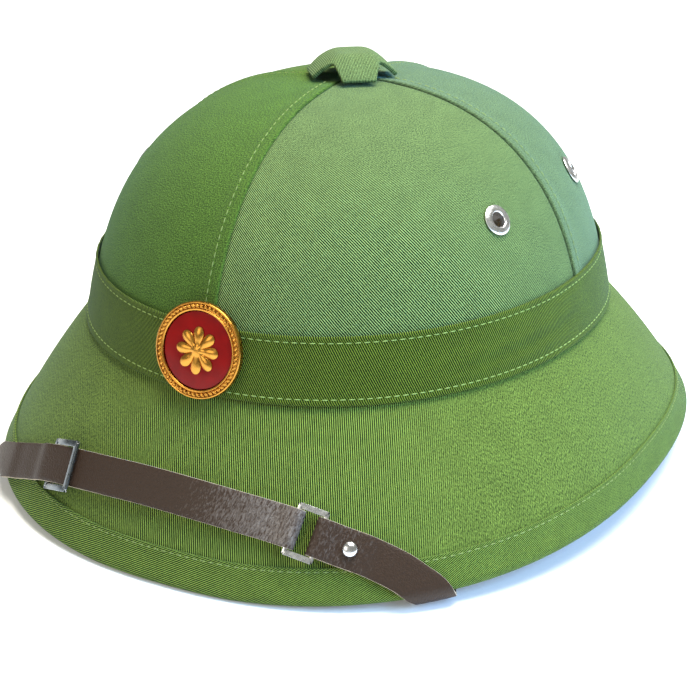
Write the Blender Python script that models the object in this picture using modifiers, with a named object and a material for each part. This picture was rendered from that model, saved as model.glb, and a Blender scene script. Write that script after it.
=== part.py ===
"""Pith helmet: a cloth-covered sun helmet with its chin strap stowed across the brim.

Metres, +Z up. The helmet faces -Y and rests on z = 0. The origin is the middle of its
length and width. Angles round the helmet are measured from the front, positive toward +X.
"""

import math

import bmesh
import bpy
import numpy as np
from mathutils import Matrix, Vector

NAME = "pith_helmet"

# crown
CROWN_HALF_WIDTH = 0.1083
CROWN_FRONT = 0.1181
CROWN_BACK = 0.1258
CROWN_SQUARENESS = 2.07
CROWN_FOOT_Z = 0.0658
FOOT_SADDLE = -0.0016
CROWN_TOP_Z = 0.1631
CROWN_SHOULDER = 3.13
CROWN_FULLNESS = 2.55
CROWN_LEAN = 0.20

# brim, given by the core of its rounded edge
BRIM_HALF_WIDTH = 0.1387
BRIM_FRONT = 0.1524
BRIM_BACK = 0.1770
BRIM_SQUARENESS = 2.27
BRIM_BULGE = 0.0018
SIDE_RISE = 0.0104
REST_ARC = math.radians(12.0)
REST_FACE = math.radians(45.0)

# walls and gaps
GAP = 0.0003
CLOTH_WALL = 0.0010
SHELL_WALL = 0.0024
BINDING_WALL = 0.0013
BINDING_PROUD = 0.0004
BINDING_LIP = 0.0110
SEAM_GAP = 0.0004

# hat band
BAND_TOP_Z = 0.0920
BAND_SADDLE = -0.0012
BAND_WALL = 0.0010

# vent cap and its post
VENT_HEIGHT = 0.0109
VENT_REACH = 0.0182
VENT_LEG_WIDTH = 0.0140
VENT_NOTCH = 0.0100
VENT_FLAT = 0.0065
VENT_ROLL = 1.45
VENT_WALL = 0.0018
VENT_BOXINESS = 4.0
VENT_TURN = math.radians(38.0)
VENT_POST_RADIUS = 0.0020
VENT_NUT_RADIUS = 0.0050
VENT_NUT_DEPTH = 0.0015
VENT_NUT_SLACK = 0.0009
VENT_HOLE_CLEAR = 0.0010
PANEL_TOP_RADIUS = 0.0060

# eyelets
EYELET_RADIUS = 0.0062
EYELET_BORE = 0.0030
EYELET_WALL = 0.0006
EYELET_ROLL = 0.0012
EYELET_BACK_RADIUS = 0.0050
EYELET_SLACK = 0.0012
EYELETS = {
    "front_right": dict(angle=67.5, z=0.1240),
    "back_right": dict(angle=112.5, z=0.1240),
    "back_left": dict(angle=-121.0, z=0.1215),
    "front_left": dict(angle=-76.0, z=0.1215),
}

# badge
BADGE_X = -0.0026
BADGE_Z = 0.0815
BADGE_LEAN = math.radians(13.0)
BADGE_RADIUS = 0.0188
BADGE_DEPTH = 0.0034
BADGE_RIM = 0.0036
BADGE_FLOOR = 0.0014
BADGE_EDGE_ROUND = 0.0008
ENAMEL_WALL = 0.0008
ROSETTE_RADIUS = 0.0092
ROSETTE_WALL = 0.0012
ROSETTE_PETALS = 8
ROSETTE_STEPS = 6
ROSETTE_WAIST = 0.55
ROSETTE_ROUNDNESS = 0.7
ROSETTE_RINGS = [
    dict(share=0.20, ridge=0.80, valley=0.60),
    dict(share=0.62, ridge=1.00, valley=0.35),
    dict(share=1.00, ridge=0.35, valley=0.35),
]
BADGE_POST_RADIUS = 0.0012
BADGE_POST_PAST = 0.0020
BADGE_NUT_RADIUS = 0.0032

# chin strap
STRAP_WALL = 0.0016
STRAP_RIM_CLEAR = 0.0010
LONG_STRAP_WIDTH = 0.0151
SHORT_STRAP_WIDTH = 0.0150
STRAP_ROUTE = [
    dict(angle=-46.0, slope=1.000),
    dict(angle=-34.0, slope=0.772),
    dict(angle=-23.0, slope=0.638),
    dict(angle=-9.0, slope=0.561),
    dict(angle=6.0, slope=0.563),
    dict(angle=19.0, slope=0.626),
    dict(angle=30.4, slope=0.764),
    dict(angle=36.4, slope=0.878),
    dict(angle=40.4, slope=1.000),
]
RING_ANGLE = 23.3
RING_LENGTH = 0.0121
RING_BAR = 0.0016
RING_END = 0.0022
RING_WALL = 0.0013
SLIDER_FROM_RING = 0.1127
SLIDER_LENGTH = 0.0205
SLIDER_BAR = 0.0028
SLIDER_END = 0.0024
SLIDER_WALL = 0.0010
SLIDER_LIFT = 0.0006
FRAME_CLEAR = 0.0004
FRAME_CORNER = 0.5
FRAME_INNER_CORNER = 0.2
FOLD_FROM_RING = 0.0210
RIVET_FROM_RING = 0.0171
RIVET_RADIUS = 0.0029
RIVET_DOME = 0.0022
RIVET_EDGE = 0.25
RIVET_PIN_RADIUS = 0.0014
SETTLE = 0.0080
WRAP_SLANT = 1.0
WRAP_DRIFT = 0.0100
ANCHOR_ANGLE = 70.0
ANCHOR_Z = 0.0790
ANCHOR_RISE = math.radians(55.0)
HIDDEN_PULL = 0.6
CREASE_ANGLE = 65.0
CREASE_CLEAR = 0.0032
ANCHOR_PAD = 0.0080
ANCHOR_SEAT = 0.0009
ANCHOR_RIVET_RADIUS = 0.0035
ANCHOR_PIN_IN_SHELL = 0.0018

# mesh steps
AROUND = 44
BAND_ROWS = 2
CROWN_ROWS = 6
BRIM_ROWS = 2
TURN_STEPS = 12
BADGE_STEPS = 28
STRAP_STEP = 0.0080
WRAP_STEP = 0.0045
STRAP_COLUMNS = 5
FOOT_LEVEL = 0.02
VENT_RINGS = (0.3, 0.55, 0.8, 1.0)
CUT_CLEAR = 0.0003
CUT_REACH = 0.01
HEIGHT_STEP = 0.0002
TURN_STEP = 0.001

# worked out from the sizes above
CROWN_Y = (BRIM_FRONT - BRIM_BACK) / 2
SHELL_DEPTH = CLOTH_WALL + GAP
SHELL_INSIDE = SHELL_DEPTH + SHELL_WALL
RIM_MID = SHELL_DEPTH + SHELL_WALL / 2
RIM_RADIUS = RIM_MID + BINDING_PROUD
BAND_PROUD = GAP + BAND_WALL
LOWER_LAYER = GAP + STRAP_WALL / 2
UPPER_LAYER = LOWER_LAYER + STRAP_WALL + GAP
HEM_LAYER = BINDING_PROUD + STRAP_RIM_CLEAR + STRAP_WALL / 2
RIM_PATH = RIM_MID + HEM_LAYER
RING_TURN = math.hypot(RING_BAR, RING_WALL) / 2 + GAP + STRAP_WALL / 2
RING_Z = LOWER_LAYER + RING_TURN

MATERIALS = {
    "shell": dict(color=(0.42, 0.36, 0.24), roughness=0.9, metallic=0.0),
    "cloth": dict(color=(0.12, 0.24, 0.06), roughness=0.9, metallic=0.0),
    "leather": dict(color=(0.07, 0.045, 0.03), roughness=0.55, metallic=0.0),
    "nickel": dict(color=(0.75, 0.75, 0.74), roughness=0.25, metallic=1.0),
    "brass": dict(color=(0.80, 0.52, 0.16), roughness=0.30, metallic=1.0),
    "enamel": dict(color=(0.35, 0.01, 0.01), roughness=0.12, metallic=0.0),
    "steel": dict(color=(0.50, 0.50, 0.50), roughness=0.40, metallic=1.0),
}


# the helmet's form


def superellipse(angle, half_width, front, back, squareness):
    c = math.cos(angle)
    s = math.sin(angle)
    scale = (abs(c) ** squareness + abs(s) ** squareness) ** (-1 / squareness)
    return s * scale * half_width, -c * scale * (front if c > 0 else back)


def crown_share(z):
    """Width of the crown at height z, as a share of its width at the foot."""
    u = min(max((z - CROWN_FOOT_Z) / (CROWN_TOP_Z - CROWN_FOOT_Z), 0.0), 1.0)
    round_part = (1 - u**CROWN_SHOULDER) ** (1 / CROWN_FULLNESS)
    return round_part * (1 + CROWN_LEAN * (1 - u)) / (1 + CROWN_LEAN)


def crown_surface(angle, z):
    x, y = superellipse(angle, CROWN_HALF_WIDTH, CROWN_FRONT, CROWN_BACK, CROWN_SQUARENESS)
    share = crown_share(z)
    return Vector((x * share, CROWN_Y + y * share, z))


def crown_normal(angle, z):
    low = max(z - HEIGHT_STEP, CROWN_FOOT_Z)
    high = min(low + 2 * HEIGHT_STEP, CROWN_TOP_Z - 1e-7)
    across = crown_surface(angle + TURN_STEP, z) - crown_surface(angle - TURN_STEP, z)
    upward = crown_surface(angle, high) - crown_surface(angle, low)
    return across.cross(upward).normalized()


def crown_point(angle, z, out=0.0):
    return crown_surface(angle, z) + crown_normal(angle, z) * out


def foot_z(angle):
    return CROWN_FOOT_Z + FOOT_SADDLE * math.cos(2 * angle)


def band_top_z(angle):
    return BAND_TOP_Z + BAND_SADDLE * math.cos(2 * angle)


def crown_level(angle, level, top_radius):
    """Height of a row: level 0 at the foot, 1 at the band's top, 2 at the top hole's edge."""
    if level <= 1:
        return foot_z(angle) + (band_top_z(angle) - foot_z(angle)) * level
    height = CROWN_TOP_Z - CROWN_FOOT_Z
    start = math.asin(((band_top_z(angle) - CROWN_FOOT_Z) / height) ** (CROWN_SHOULDER / 2))
    end = math.acos((top_radius / CROWN_FRONT) ** (CROWN_FULLNESS / 2))
    swing = start + (end - start) * (level - 1)
    return CROWN_FOOT_Z + height * math.sin(swing) ** (2 / CROWN_SHOULDER)


def edge_lift(angle):
    """The edge is level over the front and back arcs and rises toward the sides."""
    start = math.sin(REST_ARC) ** 2
    return SIDE_RISE * max(0.0, (math.sin(angle) ** 2 - start) / (1 - start))


def rim_core(angle):
    x, y = superellipse(angle, BRIM_HALF_WIDTH, BRIM_FRONT, BRIM_BACK, BRIM_SQUARENESS)
    rest = RIM_RADIUS * math.cos(REST_FACE / 2)
    return Vector((x, CROWN_Y + y, edge_lift(angle) + rest))


class Slope:
    """The brim's straight run at one angle: it leaves the crown's foot and just touches
    the circle of radius RIM_MID round the rim's core."""

    def __init__(self, angle):
        self.foot = crown_surface(angle, foot_z(angle))
        self.core = rim_core(angle)
        run = self.core - self.foot
        flat = Vector((run.x, run.y, 0))
        fall = math.atan2(-run.z, flat.length) - math.asin(RIM_MID / run.length)
        flat.normalize()
        self.length = math.sqrt(run.length**2 - RIM_MID**2)
        self.fall = fall
        self.down = flat * math.cos(fall) - Vector((0, 0, math.sin(fall)))
        self.out = flat * math.sin(fall) + Vector((0, 0, math.cos(fall)))

    def point(self, run, out=0.0):
        """A point at a run below the foot, with the brim's slight bulge."""
        share = run / self.length
        bulge = BRIM_BULGE * 4 * share * (1 - share)
        return self.foot + self.down * run + self.out * (bulge + out)

    def round_edge(self, turn, radius):
        return self.core + (self.out * math.cos(turn) + self.down * math.sin(turn)) * radius


def foot_corner(angle, depth):
    """The crease between crown and brim, moved in by a depth from both faces."""
    wall = crown_normal(angle, foot_z(angle))
    slope = Slope(angle)
    middle = (wall + slope.out).normalized()
    return slope.foot - middle * (depth / middle.dot(wall))


# helpers for objects


def clear_scene():
    for old in list(bpy.data.objects):
        bpy.data.objects.remove(old, do_unlink=True)


def collection(name):
    made = bpy.data.collections.new(name)
    bpy.context.scene.collection.children.link(made)
    return made


def material(slot, node):
    made = bpy.data.materials.new(f"{slot}_{node}")
    made.use_nodes = True
    shader = made.node_tree.nodes["Principled BSDF"]
    shader.inputs["Base Color"].default_value = (*MATERIALS[slot]["color"], 1.0)
    shader.inputs["Roughness"].default_value = MATERIALS[slot]["roughness"]
    shader.inputs["Metallic"].default_value = MATERIALS[slot]["metallic"]
    return made


def add_part(name, data, slot, matrix=None):
    part = bpy.data.objects.new(name, data)
    PARTS.objects.link(part)
    data.materials.append(material(slot, name))
    if matrix is not None:
        part.matrix_world = matrix
    return part


def smooth(mesh, degrees=40.0):
    mesh.shade_smooth()
    mesh.set_sharp_from_angle(angle=math.radians(degrees))


def grid_mesh(name, rows, closed=False, capped=False, floored=False):
    """A surface through rows of points; rows run down and columns run toward +angle.
    It can be capped over its first row and floored under its last."""
    work = bmesh.new()
    made = [[work.verts.new(p) for p in row] for row in rows]
    columns = len(made[0])
    last = columns if closed else columns - 1
    for upper, lower in zip(made, made[1:]):
        for j in range(last):
            k = (j + 1) % columns
            work.faces.new((upper[j], lower[j], lower[k], upper[k]))
    if capped:
        work.faces.new(made[0])
    if floored:
        work.faces.new(made[-1][::-1])
    mesh = bpy.data.meshes.new(name)
    work.to_mesh(mesh)
    work.free()
    smooth(mesh)
    return mesh


def thicken(part, wall, offset=-1.0):
    solid = part.modifiers.new("wall", "SOLIDIFY")
    solid.thickness = wall
    solid.offset = offset
    solid.use_even_offset = True


def turned_mesh(name, profile):
    """The outline of a turned piece, as (radius, height) points down its outer side."""
    work = bmesh.new()
    made = [work.verts.new((radius, 0, height)) for radius, height in profile]
    for a, b in zip(made, made[1:]):
        work.edges.new((a, b))
    if profile[0][0] > 0:
        work.edges.new((made[-1], made[0]))
    mesh = bpy.data.meshes.new(name)
    work.to_mesh(mesh)
    work.free()
    return mesh


def turned(name, profile, slot, matrix, steps=TURN_STEPS):
    part = add_part(name, turned_mesh(name, profile), slot, matrix)
    screw = part.modifiers.new("turn", "SCREW")
    screw.steps = steps
    screw.render_steps = steps
    screw.use_merge_vertices = True
    screw.merge_threshold = 0.00001
    screw.use_smooth_shade = True
    return part


def cutter(name, radius, low, high, matrix, steps=TURN_STEPS):
    mesh = bpy.data.meshes.new(name)
    work = bmesh.new()
    bmesh.ops.create_cone(
        work, cap_ends=True, segments=steps, radius1=radius, radius2=radius, depth=high - low
    )
    bmesh.ops.translate(work, verts=work.verts, vec=(0, 0, (high + low) / 2))
    work.to_mesh(mesh)
    work.free()
    tool = bpy.data.objects.new(name, mesh)
    CUTTERS.objects.link(tool)
    tool.matrix_world = matrix
    tool.hide_render = True
    tool.display_type = "WIRE"
    return tool


def cut(part, tool):
    drill = part.modifiers.new(tool.name, "BOOLEAN")
    drill.operation = "DIFFERENCE"
    drill.solver = "EXACT"
    drill.object = tool


def axis_matrix(origin, normal, along=Vector((0, 0, 1))):
    """A frame at a point whose Z is the normal and whose X is square to it and to along."""
    z_axis = normal.normalized()
    x_axis = along.cross(z_axis).normalized()
    y_axis = z_axis.cross(x_axis)
    frame = Matrix((x_axis, y_axis, z_axis)).transposed().to_4x4()
    frame.translation = origin
    return frame


def ring_angles():
    return [2 * math.pi * i / AROUND for i in range(AROUND)]


# body and cloth


def make_shell():
    levels = [i / BAND_ROWS for i in range(1, BAND_ROWS + 1)]
    levels += [1 + i / CROWN_ROWS for i in range(1, CROWN_ROWS + 1)]
    hole = VENT_POST_RADIUS + VENT_HOLE_CLEAR
    rows = []
    for level in reversed(levels):
        rows.append([
            crown_point(a, crown_level(a, level, hole), -SHELL_DEPTH) for a in ring_angles()
        ])
    rows.append([foot_corner(a, SHELL_DEPTH) for a in ring_angles()])
    slopes = [Slope(a) for a in ring_angles()]
    for i in range(1, BRIM_ROWS + 1):
        rows.append([
            s.point((s.length - BINDING_LIP) * i / BRIM_ROWS, -SHELL_DEPTH) for s in slopes
        ])
    rows.append([s.point(s.length, -SHELL_DEPTH) for s in slopes])
    shell = add_part("shell", grid_mesh("shell", rows, closed=True), "shell")
    thicken(shell, SHELL_WALL)
    return shell


def make_crown_panels():
    """Four panels between the seams at the front, the back and the sides."""
    quarters = {
        "front_right": 0,
        "back_right": 1,
        "back_left": 2,
        "front_left": 3,
    }
    levels = [max(i / BAND_ROWS, FOOT_LEVEL) for i in range(BAND_ROWS + 1)]
    levels += [1 + i / CROWN_ROWS for i in range(1, CROWN_ROWS + 1)]
    columns = AROUND // 4
    panels = {}
    for place, quarter in quarters.items():
        start = quarter * math.pi / 2
        rows = []
        for level in reversed(levels):
            row = []
            for j in range(columns + 1):
                middle = start + math.pi / 4
                z = crown_level(middle, level, PANEL_TOP_RADIUS)
                radius = crown_share(z) * CROWN_HALF_WIDTH
                inset = math.asin(min(SEAM_GAP / 2 / radius, 0.3))
                half = math.pi / 4 - inset
                angle = middle + half * (2 * j / columns - 1)
                row.append(crown_point(angle, crown_level(angle, level, PANEL_TOP_RADIUS)))
            rows.append(row)
        name = f"crown_panel_{place}"
        panel = add_part(name, grid_mesh(name, rows), "cloth")
        thicken(panel, CLOTH_WALL)
        panels[place] = panel
    return panels


def make_brim_cover():
    slopes = [Slope(a) for a in ring_angles()]
    rows = []
    for i in range(BRIM_ROWS + 1):
        row = []
        for s in slopes:
            end = s.length - BINDING_LIP - SEAM_GAP
            row.append(s.point(GAP + (end - GAP) * i / BRIM_ROWS))
        rows.append(row)
    cover = add_part("brim_cover", grid_mesh("brim_cover", rows, closed=True), "cloth")
    thicken(cover, CLOTH_WALL)


def make_brim_binding():
    """The hem strip: a lip on top, a round edge with a flat to rest on, a lip underneath."""
    slopes = [Slope(a) for a in ring_angles()]
    rows = [[s.point(s.length - BINDING_LIP, BINDING_PROUD) for s in slopes]]
    rows.append([s.round_edge(0.0, RIM_RADIUS) for s in slopes])
    for share in (0.5, 1.0):
        rows.append([
            s.round_edge(share * (math.pi - s.fall - REST_FACE / 2), RIM_RADIUS) for s in slopes
        ])
    rows.append([s.round_edge(math.pi - s.fall + REST_FACE / 2, RIM_RADIUS) for s in slopes])
    rows.append([s.round_edge(math.pi, RIM_RADIUS) for s in slopes])
    rows.append([
        s.point(s.length - BINDING_LIP, -RIM_MID - RIM_RADIUS) for s in slopes
    ])
    binding = add_part("brim_binding", grid_mesh("brim_binding", rows, closed=True), "cloth")
    thicken(binding, BINDING_WALL)


def make_hat_band():
    rows = []
    for i in range(BAND_ROWS, -1, -1):
        level = max(i / BAND_ROWS, FOOT_LEVEL)
        rows.append([
            crown_point(a, crown_level(a, level, PANEL_TOP_RADIUS), BAND_PROUD)
            for a in ring_angles()
        ])
    band = add_part("hat_band", grid_mesh("hat_band", rows, closed=True), "cloth")
    thicken(band, BAND_WALL)
    return band


# vent cap


def vent_height(distance):
    """Height of the cap over the crown: a flat top that rolls down into the legs."""
    foot = VENT_WALL + GAP
    if distance <= VENT_FLAT:
        return VENT_HEIGHT
    share = (distance - VENT_FLAT) / (VENT_REACH - VENT_FLAT)
    return VENT_HEIGHT - (VENT_HEIGHT - foot) * share**VENT_ROLL


def vent_outline(turn):
    """Reach of the cap at an angle from a leg's middle, -45 to 45 degrees."""
    side = abs(math.tan(turn))
    half = VENT_LEG_WIDTH / 2
    if side * VENT_REACH <= half:
        return VENT_REACH / math.cos(turn)
    lean = (half - VENT_NOTCH) / (VENT_REACH - VENT_NOTCH)
    along = (VENT_NOTCH - lean * VENT_NOTCH) / (side - lean)
    return along / math.cos(turn)


def make_vent_cap():
    corner = math.atan2(VENT_LEG_WIDTH / 2, VENT_REACH)
    right = [0.0, corner / 2, corner]
    right += [corner + (math.pi / 4 - corner) * i / 2 for i in range(1, 3)]
    turns = [-t for t in reversed(right[1:-1])] + right
    rows = []
    for share in VENT_RINGS:
        row = []
        for leg in range(4):
            for turn in turns:
                reach = share * vent_outline(turn)
                a = abs(reach * math.cos(turn)) ** VENT_BOXINESS
                b = abs(reach * math.sin(turn)) ** VENT_BOXINESS
                distance = (a + b) ** (1 / VENT_BOXINESS)
                angle = VENT_TURN + leg * math.pi / 2 + turn
                z = CROWN_TOP_Z + vent_height(distance)
                row.append(Vector((
                    reach * math.sin(angle), CROWN_Y - reach * math.cos(angle), z
                )))
        rows.append(row)
    cap = add_part("vent_cap", grid_mesh("vent_cap", rows, closed=True, capped=True), "cloth")
    thicken(cap, VENT_WALL)


def make_vent_post():
    high = VENT_HEIGHT - VENT_WALL - GAP
    seat = -SHELL_INSIDE - VENT_NUT_SLACK
    profile = [
        (0, high),
        (VENT_POST_RADIUS, high),
        (VENT_POST_RADIUS, seat),
        (VENT_NUT_RADIUS, seat),
        (VENT_NUT_RADIUS, seat - VENT_NUT_DEPTH),
        (0, seat - VENT_NUT_DEPTH),
    ]
    turned("vent_post", profile, "steel", Matrix.Translation((0, CROWN_Y, CROWN_TOP_Z)))


# eyelets


def make_eyelets(shell, panels):
    stack = SHELL_INSIDE + EYELET_SLACK
    barrel = EYELET_BORE + EYELET_WALL
    profile = [
        (EYELET_BORE, GAP + EYELET_ROLL * 0.6),
        (EYELET_BORE + EYELET_ROLL, GAP + EYELET_ROLL),
        (EYELET_RADIUS - EYELET_ROLL * 0.6, GAP + EYELET_ROLL * 0.8),
        (EYELET_RADIUS, GAP + EYELET_ROLL * 0.3),
        (EYELET_RADIUS, GAP),
        (barrel, GAP),
        (barrel, -stack),
        (EYELET_BACK_RADIUS, -stack),
        (EYELET_BACK_RADIUS, -stack - EYELET_WALL),
        (EYELET_BORE, -stack - EYELET_WALL),
    ]
    for place, at in EYELETS.items():
        angle = math.radians(at["angle"])
        frame = axis_matrix(crown_point(angle, at["z"]), crown_normal(angle, at["z"]))
        turned(f"eyelet_{place}", profile, "nickel", frame)
        tool = cutter(f"eyelet_hole_{place}", barrel + CUT_CLEAR, -2 * stack, stack, frame)
        cut(shell, tool)
        cut(panels[place], tool)


# badge


def badge_matrix():
    """A frame whose Z leaves the badge's face and whose origin is the middle of its back."""
    wall = crown_surface(0.0, BADGE_Z)
    normal = Vector((0, -math.cos(BADGE_LEAN), math.sin(BADGE_LEAN)))
    back = Vector((BADGE_X, wall.y, BADGE_Z)) + normal * (BAND_PROUD + 2 * GAP)
    return axis_matrix(back, normal)


def make_badge(shell, panels, band):
    frame = badge_matrix()
    well = BADGE_RADIUS - BADGE_RIM
    body = [
        (0, BADGE_FLOOR),
        (well, BADGE_FLOOR),
        (well + BADGE_EDGE_ROUND * 0.4, BADGE_DEPTH),
        (BADGE_RADIUS - BADGE_EDGE_ROUND, BADGE_DEPTH),
        (BADGE_RADIUS, BADGE_DEPTH - BADGE_EDGE_ROUND),
        (BADGE_RADIUS, BADGE_EDGE_ROUND),
        (BADGE_RADIUS - BADGE_EDGE_ROUND, 0),
        (0, 0),
    ]
    turned("badge_body", body, "brass", frame, BADGE_STEPS)
    low = BADGE_FLOOR + GAP
    enamel = [
        (0, low + ENAMEL_WALL),
        (well - GAP, low + ENAMEL_WALL),
        (well - GAP, low),
        (0, low),
    ]
    turned("badge_enamel", enamel, "enamel", frame, BADGE_STEPS)
    make_rosette(frame, low + ENAMEL_WALL + GAP)
    stack = BAND_PROUD + SHELL_INSIDE
    nut = -stack - BADGE_POST_PAST
    post = [
        (0, -GAP),
        (BADGE_POST_RADIUS, -GAP),
        (BADGE_POST_RADIUS, nut),
        (BADGE_NUT_RADIUS, nut),
        (BADGE_NUT_RADIUS, nut - BADGE_POST_RADIUS),
        (0, nut - BADGE_POST_RADIUS),
    ]
    turned("badge_post", post, "steel", frame)
    tool = cutter("badge_hole", BADGE_POST_RADIUS + CUT_CLEAR, nut, stack, frame)
    for part in (shell, panels["front_left"], panels["front_right"], band):
        cut(part, tool)


def make_rosette(frame, low):
    """A flower of ridged petals in relief."""
    count = ROSETTE_PETALS * ROSETTE_STEPS
    rows = []
    for ring in ROSETTE_RINGS:
        row = []
        for i in range(count):
            turn = 2 * math.pi * i / count
            petal = abs(math.cos(turn * ROSETTE_PETALS / 2))
            width = ROSETTE_WAIST + (1 - ROSETTE_WAIST) * petal**ROSETTE_ROUNDNESS
            reach = ROSETTE_RADIUS * width * ring["share"]
            rise = ring["valley"] + (ring["ridge"] - ring["valley"]) * petal
            z = low + rise * ROSETTE_WALL
            row.append(Vector((reach * math.cos(turn), reach * math.sin(turn), z)))
        rows.append(row)
    rows.append([Vector((p.x, p.y, low)) for p in rows[-1]])
    mesh = grid_mesh("badge_rosette", rows, closed=True, capped=True, floored=True)
    add_part("badge_rosette", mesh, "brass", frame)


# chin strap


def brim_map(angle, run, out):
    """A point out from the brim's cloth: run < 0 is up the slope, then round the rim and on
    along the underside."""
    slope = Slope(angle)
    if run <= 0:
        return slope.point(slope.length + run, out)
    turn = run / RIM_PATH
    if turn <= math.pi:
        return slope.round_edge(turn, RIM_MID + out)
    past = run - math.pi * RIM_PATH
    return slope.round_edge(math.pi, RIM_MID + out) - slope.down * past


def smooth_curve(values, count):
    """A curve through chosen values, its slopes taken from their neighbours."""
    values = np.array(values)
    slopes = np.gradient(values)
    found = []
    for i in range(len(values) - 1):
        for k in range(count):
            t = k / count
            found.append(
                values[i] * (2 * t**3 - 3 * t**2 + 1) + slopes[i] * (t**3 - 2 * t**2 + t)
                + values[i + 1] * (3 * t**2 - 2 * t**3) + slopes[i + 1] * (t**3 - t**2)
            )
    return found + [values[-1]]


class Route:
    """The strap's centre line, by its length from the ring, positive toward +X."""

    def __init__(self):
        angles = smooth_curve([math.radians(p["angle"]) for p in STRAP_ROUTE], 40)
        shares = smooth_curve([p["slope"] for p in STRAP_ROUTE], 40)
        runs = [-(1 - s) * Slope(a).length for a, s in zip(angles, shares)]
        points = [brim_map(a, r, LOWER_LAYER) for a, r in zip(angles, runs)]
        lengths = [0.0]
        for p, q in zip(points, points[1:]):
            lengths.append(lengths[-1] + (q - p).length)
        at_ring = float(np.interp(math.radians(RING_ANGLE), angles, lengths))
        self.lengths = np.array(lengths) - at_ring
        self.angles = np.array(angles)
        self.runs = np.array(runs)

    def place(self, s):
        """Angle and run at a length. Past each end, at the rim, the strap soon turns to go
        straight under, and drifts on along the rim by no more than a small length."""
        for end, inner, side in ((0, 4, -1), (-1, -5, 1)):
            past = (s - self.lengths[end]) * side
            if past > 0:
                step = abs(self.lengths[end] - self.lengths[inner])
                drift = WRAP_DRIFT * (1 - math.exp(-past / WRAP_DRIFT))
                angle = self.angles[end] + drift * (self.angles[end] - self.angles[inner]) / step
                run = self.runs[end] + drift * (self.runs[end] - self.runs[inner]) / step + past - drift
                return float(angle), float(run)
        angle = np.interp(s, self.lengths, self.angles)
        run = np.interp(s, self.lengths, self.runs)
        return float(angle), float(run)

    def frame(self, s, out):
        """Point, direction, outward normal, and the steps of angle and run across the strap."""
        angle, run = self.place(s)
        point = brim_map(angle, run, out)
        d_angle = (brim_map(angle + 1e-3, run, out) - brim_map(angle - 1e-3, run, out)) / 2e-3
        d_run = (brim_map(angle, run + 1e-4, out) - brim_map(angle, run - 1e-4, out)) / 2e-4
        ahead = self.place(s + 2e-4)
        behind = self.place(s - 2e-4)
        along = d_angle * (ahead[0] - behind[0]) + d_run * (ahead[1] - behind[1])
        along.normalize()
        normal = d_run.cross(d_angle).normalized()
        across = normal.cross(along)
        pair = np.array([list(d_angle), list(d_run)]).T
        steps = np.linalg.lstsq(pair, np.array(list(across)), rcond=None)[0]
        return point, along, normal, steps

    def row(self, s, out, width):
        _, _, _, steps = self.frame(s, out)
        angle, run = self.place(s)
        offsets = [width * (j / (STRAP_COLUMNS - 1) - 0.5) for j in range(STRAP_COLUMNS)]
        return [brim_map(angle + v * steps[0], run + v * steps[1], out) for v in offsets]

    def matrix(self, s, out):
        """A frame on the strap: X along it, Y across it, Z away from the brim."""
        point, along, normal, _ = self.frame(s, out)
        across = normal.cross(along)
        frame = Matrix((along, across, normal)).transposed().to_4x4()
        frame.translation = point
        return frame

    def leaning(self, far, near):
        """A frame half way between two places on the strap, with its X from far to near."""
        start, _, _, _ = self.frame(*far)
        end, _, _, _ = self.frame(*near)
        _, _, outward, _ = self.frame((far[0] + near[0]) / 2, near[1])
        along = (end - start).normalized()
        across = outward.cross(along).normalized()
        frame = Matrix((along, across, along.cross(across))).transposed().to_4x4()
        frame.translation = (start + end) / 2
        return frame

    def rim(self, side):
        return float(self.lengths[-1] if side > 0 else -self.lengths[0])


def ease(value, start, end):
    share = min(max((value - start) / (end - start), 0.0), 1.0)
    return share * share * (3 - 2 * share)


def spaced(start, end, step):
    count = max(1, math.ceil(abs(end - start) / step))
    return [start + (end - start) * i / count for i in range(count + 1)]


def folded_rows(route, side, width, under_end, single_from):
    """The strap's rows from its end under the fold, round the ring's bar and out to where
    its whole width lies under the brim. side is +1 toward +X and -1 toward -X."""
    bar = RING_LENGTH / 2 - RING_BAR / 2
    stations = [(s, LOWER_LAYER) for s in spaced(under_end, bar, STRAP_STEP)]
    for i in range(1, 8):
        turn = math.pi * i / 8
        stations.append((bar - RING_TURN * math.sin(turn), RING_Z - RING_TURN * math.cos(turn)))
    rim = route.rim(side)
    slope_end = rim - width
    top = RING_Z + RING_TURN
    for s in spaced(bar, slope_end, STRAP_STEP):
        out = top + (UPPER_LAYER - top) * ease(s, bar, bar + SETTLE)
        out += (LOWER_LAYER + GAP - UPPER_LAYER) * ease(s, single_from, single_from + SETTLE)
        out += (HEM_LAYER - LOWER_LAYER - GAP) * ease(s, slope_end - SETTLE, slope_end)
        stations.append((s, out))
    turned_under = slope_end + (math.pi * RIM_PATH + 2 * width) * WRAP_SLANT
    stations += [(s, HEM_LAYER) for s in spaced(slope_end, turned_under, WRAP_STEP)[1:]]
    rows = [route.row(side * s, out, width) for s, out in stations]
    if side < 0:
        rows = [row[::-1] for row in rows]
    return rows


def anchor_matrix(side):
    """A frame on the inside wall: X along the strap's end, Z toward the head."""
    angle = side * math.radians(ANCHOR_ANGLE)
    inward = -crown_normal(angle, ANCHOR_Z)
    depth = SHELL_INSIDE + ANCHOR_SEAT + STRAP_WALL / 2
    back = Vector((0, 0, 1)).cross(inward) * -side
    level = back.normalized()
    upward = level.cross(inward) if level.cross(inward).z > 0 else inward.cross(level)
    along = level * math.cos(ANCHOR_RISE) + upward * math.sin(ANCHOR_RISE)
    across = inward.cross(along)
    frame = Matrix((along, across, inward)).transposed().to_4x4()
    frame.translation = crown_point(angle, ANCHOR_Z, -depth)
    return frame


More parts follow.
